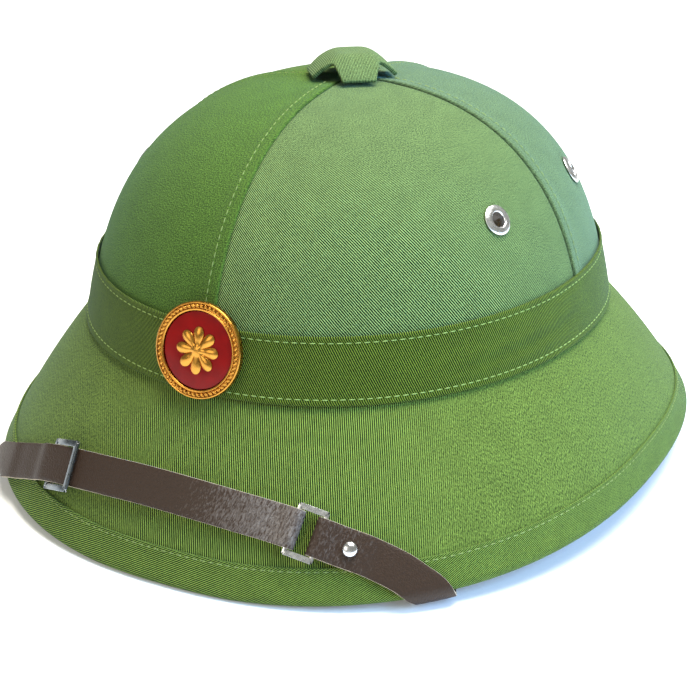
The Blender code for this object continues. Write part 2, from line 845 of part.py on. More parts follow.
def bend(start, leave, end, arrive, t):
    """A curve between two points with a direction at each, at a share t."""
    pull = (end - start).length * HIDDEN_PULL
    return (
        start * (2 * t**3 - 3 * t**2 + 1) + end * (3 * t**2 - 2 * t**3)
        + leave * pull * (t**3 - 2 * t**2 + t) + arrive * pull * (t**3 - t**2)
    )


def hidden_rows(rows, side, width):
    """From the brim's underside past the crease inside the shell to a flat end on its wall."""
    frame = anchor_matrix(side)
    start = (rows[-1][0] + rows[-1][-1]) / 2
    leave = (start - (rows[-2][0] + rows[-2][-1]) / 2).normalized()
    across = (rows[-1][-1] - rows[-1][0]).normalized()
    pad_along = frame.col[0].to_3d()
    pad_across = frame.col[1].to_3d()
    if pad_across.dot(across) < 0:
        pad_across = -pad_across
    pad = frame.translation - pad_along * ANCHOR_PAD
    crease = foot_corner(side * math.radians(CREASE_ANGLE), SHELL_INSIDE + CREASE_CLEAR)
    rise = (pad - crease).normalized()
    count = math.ceil((crease - start).length / (2 * STRAP_STEP))
    found = []
    for i in range(1, count + 1):
        t = i / count
        cross = across.lerp(pad_across, ease(t, 0, 1)).normalized()
        found.append((bend(start, leave, crease, rise, t), cross))
    found.append((pad, pad_across))
    found.append((pad + pad_along * ANCHOR_PAD, pad_across))
    found.append((pad + pad_along * ANCHOR_PAD * 2, pad_across))
    offsets = [width * (j / (STRAP_COLUMNS - 1) - 0.5) for j in range(STRAP_COLUMNS)]
    return [[centre + cross * v for v in offsets] for centre, cross in found]


def make_strap(name, route, side, width, under_end, single_from):
    rows = folded_rows(route, side, width, under_end, single_from)
    rows += hidden_rows(rows, side, width)
    strap = add_part(name, grid_mesh(name, rows), "leather")
    thicken(strap, STRAP_WALL, offset=0.0)
    return strap


def metal_frame(name, length, width, bar, end, wall, matrix):
    """A flat rectangular frame with rounded corners, cut from sheet metal. Its two bars
    lie across the strap and its two ends beside it."""
    curve = bpy.data.curves.new(name, "CURVE")
    curve.dimensions = "2D"
    curve.fill_mode = "BOTH"
    curve.extrude = wall / 2
    loops = [
        dict(length=length, width=width, corner=bar * FRAME_CORNER),
        dict(length=length - 2 * bar, width=width - 2 * end, corner=bar * FRAME_INNER_CORNER),
    ]
    for loop in loops:
        spline = curve.splines.new("POLY")
        points = []
        corner = loop["corner"]
        for quarter in range(4):
            cx = (1, -1, -1, 1)[quarter] * (loop["length"] / 2 - corner)
            cy = (1, 1, -1, -1)[quarter] * (loop["width"] / 2 - corner)
            for step in range(3):
                turn = (quarter + step / 2) * math.pi / 2
                points.append((cx + corner * math.cos(turn), cy + corner * math.sin(turn)))
        spline.points.add(len(points) - 1)
        for slot, (x, y) in zip(spline.points, points):
            slot.co = (x, y, 0, 1)
        spline.use_cyclic_u = True
    add_part(name, curve, "nickel", matrix)


def rivet(name, head, dome, pin, low, slot, matrix):
    """A domed head whose underside is at z = 0, with its pin down to low."""
    profile = [(0, dome)]
    for i in range(1, 4):
        turn = math.pi / 2 * i / 3
        rise = RIVET_EDGE + (1 - RIVET_EDGE) * math.cos(turn)
        profile.append((head * math.sin(turn), dome * rise))
    profile += [(head, 0), (pin, 0), (pin, low), (0, low)]
    turned(name, profile, slot, matrix)


def make_chin_strap(shell):
    route = Route()
    slider_far = SLIDER_FROM_RING + SLIDER_LENGTH / 2 - SLIDER_BAR / 2
    slider_near = SLIDER_FROM_RING - SLIDER_LENGTH / 2 + SLIDER_BAR / 2
    slider_middle = (slider_far + slider_near) / 2
    long_strap = make_strap(
        "strap_long", route, -1, LONG_STRAP_WIDTH, slider_middle, slider_far + SLIDER_BAR
    )
    short_strap = make_strap(
        "strap_short", route, 1, SHORT_STRAP_WIDTH, FOLD_FROM_RING, FOLD_FROM_RING
    )
    inner_width = LONG_STRAP_WIDTH + 2 * FRAME_CLEAR
    metal_frame(
        "strap_ring", RING_LENGTH, inner_width + 2 * RING_END, RING_BAR, RING_END, RING_WALL,
        route.matrix(0.0, RING_Z),
    )
    near_z = UPPER_LAYER + STRAP_WALL / 2 + GAP + SLIDER_WALL / 2 + SLIDER_LIFT
    far_z = SLIDER_WALL / 2 + 2 * GAP
    metal_frame(
        "strap_slider", SLIDER_LENGTH, inner_width + 2 * SLIDER_END, SLIDER_BAR, SLIDER_END,
        SLIDER_WALL, route.leaning((-slider_far, far_z), (-slider_near, near_z)),
    )
    hole = RIVET_PIN_RADIUS + CUT_CLEAR
    head_seat = UPPER_LAYER + STRAP_WALL / 2 + GAP
    pin_frame = route.matrix(RIVET_FROM_RING, head_seat)
    rivet(
        "strap_rivet", RIVET_RADIUS, RIVET_DOME, RIVET_PIN_RADIUS, GAP - head_seat,
        "nickel", pin_frame,
    )
    cut(short_strap, cutter("strap_rivet_hole", hole, -CUT_REACH, CUT_REACH, pin_frame))
    for place, side, strap in (("right", 1, short_strap), ("left", -1, long_strap)):
        frame = anchor_matrix(side) @ Matrix.Translation((0, 0, STRAP_WALL / 2 + GAP))
        low = -(STRAP_WALL + GAP + ANCHOR_SEAT + ANCHOR_PIN_IN_SHELL)
        rivet(
            f"anchor_rivet_{place}", ANCHOR_RIVET_RADIUS, RIVET_DOME / 2, RIVET_PIN_RADIUS, low,
            "steel", frame,
        )
        tool = cutter(f"anchor_hole_{place}", hole, -CUT_REACH, CUT_REACH, frame)
        cut(strap, tool)
        cut(shell, tool)


clear_scene()
PARTS = collection(NAME)
CUTTERS = collection("cutters")
shell_part = make_shell()
panel_parts = make_crown_panels()
make_brim_cover()
make_brim_binding()
band_part = make_hat_band()
make_vent_cap()
make_vent_post()
make_eyelets(shell_part, panel_parts)
make_badge(shell_part, panel_parts, band_part)
make_chin_strap(shell_part)
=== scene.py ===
"""Pith helmet: cloth, leather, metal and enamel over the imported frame, in metres, +Z up.

The helmet faces -Y. Angles round it are measured from the front, positive toward +X.
"""

import math

import bpy
import numpy as np
from mathutils import Matrix, Vector


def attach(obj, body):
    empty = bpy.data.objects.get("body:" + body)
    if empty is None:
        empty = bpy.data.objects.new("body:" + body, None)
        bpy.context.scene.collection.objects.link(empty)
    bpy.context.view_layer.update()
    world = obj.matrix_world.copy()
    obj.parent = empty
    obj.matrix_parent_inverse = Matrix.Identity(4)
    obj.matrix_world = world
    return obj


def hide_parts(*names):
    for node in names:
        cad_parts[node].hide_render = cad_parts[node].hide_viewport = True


bl_info = {
    "name": "Pith Helmet",
    "version": (1, 0, 0),
    "blender": (4, 5, 0),
    "location": "3D View > Sidebar > Pith Helmet",
    "description": "Sews, trims and lights a cloth-covered pith helmet",
    "category": "Add Mesh",
}

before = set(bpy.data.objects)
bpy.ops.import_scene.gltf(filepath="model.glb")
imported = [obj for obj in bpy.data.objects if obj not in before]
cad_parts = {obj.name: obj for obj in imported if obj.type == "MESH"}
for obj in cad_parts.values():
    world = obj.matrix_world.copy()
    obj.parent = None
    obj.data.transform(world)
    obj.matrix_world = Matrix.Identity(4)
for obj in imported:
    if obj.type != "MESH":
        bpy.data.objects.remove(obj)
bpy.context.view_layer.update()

# crown
CROWN_HALF_WIDTH = 0.1083
CROWN_FRONT = 0.1181
CROWN_BACK = 0.1258
CROWN_SQUARENESS = 2.07
CROWN_FOOT_Z = 0.0658
FOOT_SADDLE = -0.0016
CROWN_TOP_Z = 0.1631
CROWN_SHOULDER = 3.13
CROWN_FULLNESS = 2.55
CROWN_LEAN = 0.20

# brim, given by the core of its rounded edge
BRIM_HALF_WIDTH = 0.1387
BRIM_FRONT = 0.1524
BRIM_BACK = 0.1770
BRIM_SQUARENESS = 2.27
BRIM_BULGE = 0.0018
SIDE_RISE = 0.0104
REST_ARC = math.radians(12.0)
REST_FACE = math.radians(45.0)

# walls and gaps
GAP = 0.0003
CLOTH_WALL = 0.0010
SHELL_WALL = 0.0024
BINDING_WALL = 0.0013
BINDING_PROUD = 0.0004
BINDING_LIP = 0.0110
SEAM_GAP = 0.0004

# hat band
BAND_TOP_Z = 0.0920
BAND_SADDLE = -0.0012
BAND_WALL = 0.0010

# vent cap
VENT_HEIGHT = 0.0109
VENT_REACH = 0.0182
VENT_LEG_WIDTH = 0.0140
VENT_NOTCH = 0.0100
VENT_FLAT = 0.0065
VENT_ROLL = 1.45
VENT_WALL = 0.0018
VENT_BOXINESS = 4.0
VENT_TURN = math.radians(38.0)
PANEL_TOP_RADIUS = 0.0060

# eyelets
EYELET_RADIUS = 0.0062
EYELET_BORE = 0.0030
EYELET_WALL = 0.0006
EYELET_ROLL = 0.0012
EYELET_BACK_RADIUS = 0.0050
EYELET_SLACK = 0.0012
EYELETS = {
    "front_right": dict(angle=67.5, z=0.1240),
    "back_right": dict(angle=112.5, z=0.1240),
    "back_left": dict(angle=-121.0, z=0.1215),
    "front_left": dict(angle=-76.0, z=0.1215),
}

# badge
BADGE_X = -0.0026
BADGE_Z = 0.0815
BADGE_LEAN = math.radians(13.0)
BADGE_RADIUS = 0.0188
BADGE_DEPTH = 0.0034
BADGE_RIM = 0.0036
BADGE_FLOOR = 0.0014
ENAMEL_WALL = 0.0008
ROSETTE_RADIUS = 0.0092
ROSETTE_WALL = 0.0012
ROSETTE_PETALS = 8

# chin strap
STRAP_WALL = 0.0016
STRAP_RIM_CLEAR = 0.0010
LONG_STRAP_WIDTH = 0.0151
SHORT_STRAP_WIDTH = 0.0150
STRAP_ROUTE = [
    dict(angle=-46.0, slope=1.000),
    dict(angle=-34.0, slope=0.772),
    dict(angle=-23.0, slope=0.638),
    dict(angle=-9.0, slope=0.561),
    dict(angle=6.0, slope=0.563),
    dict(angle=19.0, slope=0.626),
    dict(angle=30.4, slope=0.764),
    dict(angle=36.4, slope=0.878),
    dict(angle=40.4, slope=1.000),
]
RING_ANGLE = 23.3
RING_LENGTH = 0.0121
RING_BAR = 0.0016
RING_END = 0.0022
RING_WALL = 0.0013
SLIDER_FROM_RING = 0.1127
SLIDER_LENGTH = 0.0205
SLIDER_BAR = 0.0028
SLIDER_END = 0.0024
SLIDER_WALL = 0.0010
SLIDER_LIFT = 0.0006
FRAME_CLEAR = 0.0004
FRAME_CORNER = 0.5
FOLD_FROM_RING = 0.0210
RIVET_FROM_RING = 0.0171
RIVET_RADIUS = 0.0029
RIVET_DOME = 0.0022
RIVET_PIN_RADIUS = 0.0014
SETTLE = 0.0080
WRAP_DRIFT = 0.0100
ANCHOR_ANGLE = 70.0
ANCHOR_Z = 0.0790
ANCHOR_RISE = math.radians(55.0)
HIDDEN_PULL = 0.6
CREASE_ANGLE = 65.0
CREASE_CLEAR = 0.0032
ANCHOR_PAD = 0.0080
ANCHOR_SEAT = 0.0009
ANCHOR_RIVET_RADIUS = 0.0035

# mesh steps
AROUND = 264
SHELL_BRIM_ROWS = 10
SHELL_CROWN_ROWS = 44
SHELL_TOP_RADIUS = 0.0030
STRAP_STEP = 0.0025
WRAP_STEP = 0.0012
STRAP_COLUMNS = 9
TURN_STEPS = 48
BADGE_STEPS = 96
ROUTE_STEPS = 40
RING_TURN_STEPS = 16
BEND_STEPS = 16
RISE_STEPS = 4
VENT_ROWS = 18
RIVET_STEPS = 32
RIVET_DOME_STEPS = 8
FRAME_CORNER_STEPS = 5
MERGE_DISTANCE = 1e-6

# small steps that directions are measured over
ANGLE_STEP = 0.001
HEIGHT_STEP = 0.0002
RUN_STEP = 0.0001
LENGTH_STEP = 0.0002
SHORT_OF_TOP = 1e-7

# how far the drill for the eyelets reaches each way
SHELL_DRILL = 0.012
CLOTH_DRILL = 0.006

# stitches: the part of the pitch that thread covers, and its height and lift as shares of its width
STITCH_SHARE = 0.72
THREAD_HEIGHT = 0.45
THREAD_SHOWS = 0.15

# the crown's rows of stitches: the level where they start, how far they rise and in how many steps
SEAM_ROW_START = 1.02
SEAM_ROW_RISE = 0.93
SEAM_ROW_STEPS = 80

# badge rope: each bead's half length, width and height, its slant and its place below the rim
ROPE_BEADS = 56
ROPE_BEAD = (0.00125, 0.00062, 0.00045, 1)
ROPE_SLANT = math.radians(52)
ROPE_SUNK = 0.0006

# badge rosette: its waist between petals and its boss, as shares of its radius
PETAL_STEPS = 24
PETAL_WAIST = 0.55
PETAL_ROUNDNESS = 0.6
BOSS = 0.3
# share of the reach, height of ridge, height of valley
ROSETTE_RINGS = (
    (1.00, 0.00, 0.00),
    (1.00, 0.22, 0.22),
    (0.90, 0.62, 0.30),
    (0.70, 1.00, 0.34),
    (0.45, 0.95, 0.40),
    (0.28, 0.70, 0.50),
    (0.20, 0.90, 0.85),
    (0.12, 1.15, 1.12),
    (0.04, 1.25, 1.25),
)

# worked out from the sizes above
CROWN_Y = (BRIM_FRONT - BRIM_BACK) / 2
SHELL_DEPTH = CLOTH_WALL + GAP
SHELL_INSIDE = SHELL_DEPTH + SHELL_WALL
RIM_MID = SHELL_DEPTH + SHELL_WALL / 2
RIM_RADIUS = RIM_MID + BINDING_PROUD
BAND_PROUD = GAP + BAND_WALL
LOWER_LAYER = GAP + STRAP_WALL / 2
UPPER_LAYER = LOWER_LAYER + STRAP_WALL + GAP
HEM_LAYER = BINDING_PROUD + STRAP_RIM_CLEAR + STRAP_WALL / 2
RIM_PATH = RIM_MID + HEM_LAYER
RING_TURN = math.hypot(RING_BAR, RING_WALL) / 2 + GAP + STRAP_WALL / 2
RING_Z = LOWER_LAYER + RING_TURN
SLIDER_FAR = SLIDER_FROM_RING + SLIDER_LENGTH / 2 - SLIDER_BAR / 2
SLIDER_NEAR = SLIDER_FROM_RING - SLIDER_LENGTH / 2 + SLIDER_BAR / 2
EYELET_HOLE = EYELET_BORE + EYELET_WALL + GAP

# one wave of Blender's wave texture is this long at scale 1
WAVE_LENGTH = 2 * math.pi / 20


# the helmet's form


def superellipse(angle, half_width, front, back, squareness):
    c = math.cos(angle)
    s = math.sin(angle)
    scale = (abs(c) ** squareness + abs(s) ** squareness) ** (-1 / squareness)
    return s * scale * half_width, -c * scale * (front if c > 0 else back)


def crown_share(z):
    """Width of the crown at height z, as a share of its width at the foot."""
    u = min(max((z - CROWN_FOOT_Z) / (CROWN_TOP_Z - CROWN_FOOT_Z), 0.0), 1.0)
    round_part = (1 - u**CROWN_SHOULDER) ** (1 / CROWN_FULLNESS)
    return round_part * (1 + CROWN_LEAN * (1 - u)) / (1 + CROWN_LEAN)


def crown_surface(angle, z):
    x, y = superellipse(angle, CROWN_HALF_WIDTH, CROWN_FRONT, CROWN_BACK, CROWN_SQUARENESS)
    share = crown_share(z)
    return Vector((x * share, CROWN_Y + y * share, z))


def crown_normal(angle, z):
    low = max(z - HEIGHT_STEP, CROWN_FOOT_Z)
    high = min(low + 2 * HEIGHT_STEP, CROWN_TOP_Z - SHORT_OF_TOP)
    across = crown_surface(angle + ANGLE_STEP, z) - crown_surface(angle - ANGLE_STEP, z)
    upward = crown_surface(angle, high) - crown_surface(angle, low)
    return across.cross(upward).normalized()


def crown_point(angle, z, out=0.0):
    return crown_surface(angle, z) + crown_normal(angle, z) * out


def foot_z(angle):
    return CROWN_FOOT_Z + FOOT_SADDLE * math.cos(2 * angle)


def band_top_z(angle):
    return BAND_TOP_Z + BAND_SADDLE * math.cos(2 * angle)


def crown_level(angle, level, top_radius):
    """Height of a row: level 0 at the foot, 1 at the band's top, 2 at the top hole's edge."""
    if level <= 1:
        return foot_z(angle) + (band_top_z(angle) - foot_z(angle)) * level
    height = CROWN_TOP_Z - CROWN_FOOT_Z
    start = math.asin(((band_top_z(angle) - CROWN_FOOT_Z) / height) ** (CROWN_SHOULDER / 2))
    end = math.acos((top_radius / CROWN_FRONT) ** (CROWN_FULLNESS / 2))
    swing = start + (end - start) * (level - 1)
    return CROWN_FOOT_Z + height * math.sin(swing) ** (2 / CROWN_SHOULDER)


def edge_lift(angle):
    """The edge is level over the front and back arcs and rises toward the sides."""
    start = math.sin(REST_ARC) ** 2
    return SIDE_RISE * max(0.0, (math.sin(angle) ** 2 - start) / (1 - start))


def rim_core(angle):
    x, y = superellipse(angle, BRIM_HALF_WIDTH, BRIM_FRONT, BRIM_BACK, BRIM_SQUARENESS)
    rest = RIM_RADIUS * math.cos(REST_FACE / 2)
    return Vector((x, CROWN_Y + y, edge_lift(angle) + rest))


class Slope:
    """The brim's straight run at one angle, from the crown's foot to the rim's round edge."""

    def __init__(self, angle):
        self.foot = crown_surface(angle, foot_z(angle))
        self.core = rim_core(angle)
        run = self.core - self.foot
        flat = Vector((run.x, run.y, 0))
        fall = math.atan2(-run.z, flat.length) - math.asin(RIM_MID / run.length)
        flat.normalize()
        self.length = math.sqrt(run.length**2 - RIM_MID**2)
        self.fall = fall
        self.down = flat * math.cos(fall) - Vector((0, 0, math.sin(fall)))
        self.out = flat * math.sin(fall) + Vector((0, 0, math.cos(fall)))

    def point(self, run, out=0.0):
        """A point at a run below the foot, with the brim's slight bulge."""
        share = run / self.length
        bulge = BRIM_BULGE * 4 * share * (1 - share)
        return self.foot + self.down * run + self.out * (bulge + out)

    def round_edge(self, turn, radius):
        return self.core + (self.out * math.cos(turn) + self.down * math.sin(turn)) * radius


def foot_corner(angle, depth):
    """The crease between crown and brim, moved in by a depth from both faces."""
    wall = crown_normal(angle, foot_z(angle))
    slope = Slope(angle)
    middle = (wall + slope.out).normalized()
    return slope.foot - middle * (depth / middle.dot(wall))


def ease(value, start, end):
    share = min(max((value - start) / (end - start), 0.0), 1.0)
    return share * share * (3 - 2 * share)


def bell(value, width):
    """A soft hump of height 1 at zero."""
    return math.exp(-((value / width) ** 2))


def spaced(start, end, step):
    count = max(1, math.ceil(abs(end - start) / step))
    return [start + (end - start) * i / count for i in range(count + 1)]


def ring_angles():
    """Angles all the way round from the back seam, the last on top of the first."""
    return [2 * math.pi * i / AROUND - math.pi for i in range(AROUND + 1)]


# modelling helpers


def deselect_all():
    for thing in bpy.context.selected_objects:
        thing.select_set(False)


def make_active(piece):
    deselect_all()
    piece.select_set(True)
    bpy.context.view_layer.objects.active = piece


def named(piece, name):
    piece.name = name
    piece.data.name = name
    return piece


def edit_all(piece, *steps):
    """Runs edit-mode operators, each a name and its settings, on all of a piece."""
    make_active(piece)
    bpy.ops.object.mode_set(mode="EDIT")
    bpy.ops.mesh.select_all(action="SELECT")
    for operator, settings in steps:
        getattr(bpy.ops.mesh, operator)(**settings)
    bpy.ops.object.mode_set(mode="OBJECT")


def modify(piece, kind, **settings):
    """Adds a modifier, sets it and applies it."""
    made = piece.modifiers.new(kind.lower(), kind)
    for key, value in settings.items():
        setattr(made, key, value)
    make_active(piece)
    bpy.ops.object.modifier_apply(modifier=made.name)


def thicken(piece, wall, offset=-1.0, **settings):
    """Gives a sheet its wall: offset -1 puts it all inside the drawn face, and 0 half on each side."""
    modify(piece, "SOLIDIFY", thickness=wall, offset=offset, use_even_offset=True, **settings)


def ease_edges(piece, width, segments, degrees, **settings):
    """Rounds each edge that turns by more than an angle."""
    sharp = dict(limit_method="ANGLE", angle_limit=math.radians(degrees))
    modify(piece, "BEVEL", width=width, segments=segments, **sharp, **settings)


def wrapped_grid(name, points, closed=False, flat=None):
    """A grid wrapped over rows of points, the lowest row first and columns toward +angle.
    Its UV map is the cloth laid flat, in metres, unless flat points are given."""
    points = np.array([[list(p) for p in row] for row in points])
    rows, columns = points.shape[:2]
    if flat is None:
        flat = flat_lengths(points)
    deselect_all()
    bpy.ops.mesh.primitive_grid_add(x_subdivisions=columns - 1, y_subdivisions=rows - 1, size=1)
    piece = named(bpy.context.object, name)
    corners = np.zeros(len(piece.data.vertices) * 3)
    piece.data.vertices.foreach_get("co", corners)
    corners = corners.reshape(-1, 3)
    column = np.rint((corners[:, 0] + 0.5) * (columns - 1)).astype(int)
    row = np.rint((corners[:, 1] + 0.5) * (rows - 1)).astype(int)
    piece.data.vertices.foreach_set("co", points[row, column].ravel())
    loops = np.zeros(len(piece.data.loops), int)
    piece.data.loops.foreach_get("vertex_index", loops)
    piece.data.uv_layers[0].name = "flat_cloth"
    piece.data.uv_layers[0].data.foreach_set("uv", flat[row[loops], column[loops]].ravel())
    piece.data.update()
    if closed:
        edit_all(piece, ("remove_doubles", dict(threshold=MERGE_DISTANCE)))
    return piece


def flat_lengths(points):
    """Where each point lies once the sheet is laid flat: lengths along its rows from the
    middle column, and along its columns from the first row."""
    along = np.linalg.norm(np.diff(points, axis=1), axis=2)
    along = np.concatenate([np.zeros((len(points), 1)), np.cumsum(along, axis=1)], axis=1)
    along -= along[:, [points.shape[1] // 2]]
    up = np.linalg.norm(np.diff(points, axis=0), axis=2)
    up = np.concatenate([np.zeros((1, points.shape[1])), np.cumsum(up, axis=0)], axis=0)
    return np.stack([along, up], axis=2)


def finish_piece(piece, finish, slot, *nodes, smooth=35.0):
    """Smooths and paints a piece, and ties it to the frame."""
    piece.data.materials.clear()
    for each in finish if isinstance(finish, (list, tuple)) else [finish]:
        piece.data.materials.append(each)
    make_active(piece)
    bpy.ops.object.shade_smooth_by_angle(angle=math.radians(smooth))
    if nodes:
        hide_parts(*nodes)
    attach(piece, "root")
    return piece


def drill(piece, radius, matrix, depth):
    """Cuts a round hole through a piece at a frame, and takes the drill away again."""
    deselect_all()
    bpy.ops.mesh.primitive_cylinder_add(vertices=TURN_STEPS, radius=radius, depth=2 * depth)
    tool = bpy.context.object
    tool.data.transform(matrix)
    modify(piece, "BOOLEAN", operation="DIFFERENCE", solver="EXACT", object=tool)
    bpy.data.objects.remove(tool, do_unlink=True)


def turned(name, profile, matrix, steps=TURN_STEPS):
    """A piece turned from its outline, given as (radius, height) points down its outer side."""
    deselect_all()
    bpy.ops.mesh.primitive_circle_add(vertices=len(profile), radius=1.0)
    piece = named(bpy.context.object, name)
    for vertex, (radius, height) in zip(piece.data.vertices, profile):
        vertex.co = (radius, 0.0, height)
    on_axis = [radius < 1e-9 for radius, _ in profile]
    make_active(piece)
    bpy.ops.object.mode_set(mode="EDIT")
    bpy.ops.mesh.select_all(action="DESELECT")
    bpy.ops.object.mode_set(mode="OBJECT")
    for edge in piece.data.edges:
        edge.select = all(on_axis[i] for i in edge.vertices)
    bpy.ops.object.mode_set(mode="EDIT")
    bpy.ops.mesh.delete(type="EDGE_FACE")
    bpy.ops.mesh.select_all(action="SELECT")
    bpy.ops.mesh.spin(steps=steps, angle=2 * math.pi, center=(0, 0, 0), axis=(0, 0, 1))
    bpy.ops.mesh.select_all(action="SELECT")
    bpy.ops.mesh.remove_doubles(threshold=MERGE_DISTANCE)
    bpy.ops.mesh.normals_make_consistent(inside=False)
    bpy.ops.object.mode_set(mode="OBJECT")
    piece.data.transform(matrix)
    return piece


def rounded(points, radius, steps=4):
    """An outline with each corner between its first and last point rounded."""
    found = [points[0]]
    for before, here, after in zip(points, points[1:], points[2:]):
        here = Vector(here)
        back = Vector(before) - here
        on = Vector(after) - here
        reach = min(radius, back.length * 0.45, on.length * 0.45)
        start = here + back.normalized() * reach
        end = here + on.normalized() * reach
        for i in range(steps + 1):
            t = i / steps
            spot = start * (1 - t) ** 2 + here * 2 * t * (1 - t) + end * t**2
            found.append((spot.x, spot.y))
    return found + [points[-1]]


def frame_at(origin, x_axis, y_axis, z_axis):
    made = Matrix((x_axis, y_axis, z_axis)).transposed().to_4x4()
    made.translation = origin
    return made


def upright_frame(origin, normal):
    """A frame at a point, with Z along the normal and X level."""
    z_axis = normal.normalized()
    x_axis = Vector((0, 0, 1)).cross(z_axis).normalized()
    return frame_at(origin, x_axis, z_axis.cross(x_axis), z_axis)


def eyelet_seat(place):
    """A frame on the crown at one of the eyelets, with Z outward."""
    angle = math.radians(EYELETS[place]["angle"])
    z = EYELETS[place]["z"]
    return upright_frame(crown_point(angle, z), crown_normal(angle, z))


def copies(name, pattern, places):
    """One mesh of many copies of a small pattern piece, one at each frame; the pattern goes."""
    shape = np.array([list(v.co) for v in pattern.data.vertices])
    faces = [list(f.vertices) for f in pattern.data.polygons]
    points = []
    all_faces = []
    for place in places:
        grid = np.array(place)
        start = len(points)
        points.extend((shape @ grid[:3, :3].T + grid[:3, 3]).tolist())
        all_faces.extend([[i + start for i in face] for face in faces])
    mesh = bpy.data.meshes.new(name)
    mesh.from_pydata(points, [], all_faces)
    piece = bpy.data.objects.new(name, mesh)
    bpy.context.scene.collection.objects.link(piece)
    bpy.data.objects.remove(pattern, do_unlink=True)
    return piece


# materials


def linear(hex_colour):
    """An sRGB hex colour as linear values with alpha."""
    values = [int(hex_colour[i : i + 2], 16) / 255 for i in (1, 3, 5)]
    return tuple(v / 12.92 if v <= 0.04045 else ((v + 0.055) / 1.055) ** 2.4 for v in values) + (1,)


def add_node(tree, kind, inputs=None, **settings):
    """Adds a node with its settings; an input is a value or the socket that feeds it."""
    made = tree.nodes.new(kind)
    for key, value in settings.items():
        setattr(made, key, value)
    for key, value in (inputs or {}).items():
        if isinstance(value, bpy.types.NodeSocket):
            tree.links.new(value, made.inputs[key])
        else:
            made.inputs[key].default_value = value
    return made


def new_material(name, **uniform):
    """A material with its shader's plain values set on the shader's own sockets."""
    made = bpy.data.materials.new(name)
    made.use_nodes = True
    shader = made.node_tree.nodes["Principled BSDF"]
    for key, value in uniform.items():
        shader.inputs[key.replace("_", " ").title().replace("Ior", "IOR")].default_value = value
    return made, made.node_tree, shader


def with_painted_light(colour, painted_light_tint):
    """The cloth's colour multiplied by a colour given for each piece, which is painted light and shade:
    darker, lighter, bluer or yellower by how the light falls on that piece.
    """
    return [a * b for a, b in zip(linear(colour), linear(painted_light_tint))]


def cotton_twill(name, lean, pitch, settings, nap=0.0, painted_light_tint="#FFFFFF", worn=None, loose=0.08):
    """Dyed cotton twill: raised diagonal wales with dark furrows between them, broken up by
    single yarns, with a dull sheen of loose fibre that lightens it where it turns away, its colour
    painted cool blue for the daylight. The colour of the wales' tops is painted light and the near
    black of the furrows painted shade, and each piece's colour is painted lighter or darker by how
    light falls on it. The nap hides the wales, everywhere or away from a spot that was brushed less."""
    made, tree, shader = new_material(
        name, roughness=0.9, sheen_weight=loose, sheen_roughness=0.5, specular_ior_level=0.15
    )
    # painted reflection: the sheen's colour is cool blue, standing for the daylight from the right
    shader.inputs["Sheen Tint"].default_value = linear(settings.sheen_painted_daylight)
    cloth = add_node(tree, "ShaderNodeUVMap", uv_map="flat_cloth").outputs["UV"]
    along = add_node(tree, "ShaderNodeMapping", {"Vector": cloth, "Rotation": (0, 0, -lean)})
    # slow drift of the yarns, so that the wales aren't ruled lines
    drift = add_node(tree, "ShaderNodeTexNoise", {"Vector": cloth, "Scale": 1 / 0.009, "Detail": 2.0})
    wales = add_node(
        tree, "ShaderNodeTexWave",
        {"Vector": along.outputs["Vector"], "Scale": WAVE_LENGTH / pitch, "Distortion": 0.9,
         "Detail": 2.0, "Detail Scale": 0.5},
        wave_type="BANDS", bands_direction="X", wave_profile="SIN",
    )
    # single yarns lie across each wale, longer than they are wide
    lying = add_node(tree, "ShaderNodeMapping", {"Vector": along.outputs["Vector"], "Scale": (1.0, 0.4, 1.0)})
    yarns = add_node(
        tree, "ShaderNodeTexNoise", {"Vector": lying.outputs["Vector"], "Scale": 1.3 / pitch, "Detail": 1.0}
    )
    fuzz = add_node(
        tree, "ShaderNodeTexNoise",
        {"Vector": cloth, "Scale": 1 / settings.fuzz, "Detail": 2.0, "Roughness": 0.75},
    )
    clear = brushed_nap(tree, cloth, 1 - nap, worn) if worn else 1 - nap
    broken = add_node(
        tree, "ShaderNodeMath", {0: yarns.outputs["Fac"], 1: 0.45, 2: wales.outputs["Fac"]},
        operation="MULTIPLY_ADD",
    )
    ridges = add_node(
        tree, "ShaderNodeMapRange",
        {"Value": broken.outputs[0], "From Min": 0.78, "From Max": 1.12}, interpolation_type="SMOOTHSTEP",
    )
    tufts = add_node(
        tree, "ShaderNodeMapRange", {"Value": fuzz.outputs["Fac"], "From Min": 0.34, "From Max": 0.86}
    )
    height = add_node(
        tree, "ShaderNodeMix",
        {"Factor": clear, "A": tufts.outputs["Result"], "B": ridges.outputs["Result"]}, data_type="FLOAT",
    )
    # painted light and shade: by the same height that drives the bump, the wales' tops take the lit colour
    # and the furrows a near black that stands for their shade; both are multiplied by the piece's painted
    # light colour
    dye_with_painted_light = add_node(
        tree, "ShaderNodeMix",
        {"Factor": height.outputs["Result"], "A": with_painted_light(settings.furrow_shade, painted_light_tint),
         "B": with_painted_light(settings.wale, painted_light_tint)},
        data_type="RGBA",
    )
    # dye takes unevenly, in soft patches some centimetres wide
    patches = add_node(
        tree, "ShaderNodeMapRange",
        {"Value": drift.outputs["Fac"], "From Min": 0.3, "From Max": 0.7, "To Min": 0.92, "To Max": 1.06},
    )
    uneven = add_node(
        tree, "ShaderNodeMix",
        {"Factor": 1.0, "A": dye_with_painted_light.outputs["Result"], "B": patches.outputs["Result"]},
        data_type="RGBA", blend_type="MULTIPLY",
    )
    tree.links.new(uneven.outputs["Result"], shader.inputs["Base Color"])
    relief = add_node(
        tree, "ShaderNodeBump",
        {"Height": height.outputs["Result"], "Strength": 0.6, "Distance": settings.wale_depth},
    )
    tree.links.new(relief.outputs["Normal"], shader.inputs["Normal"])
    return made


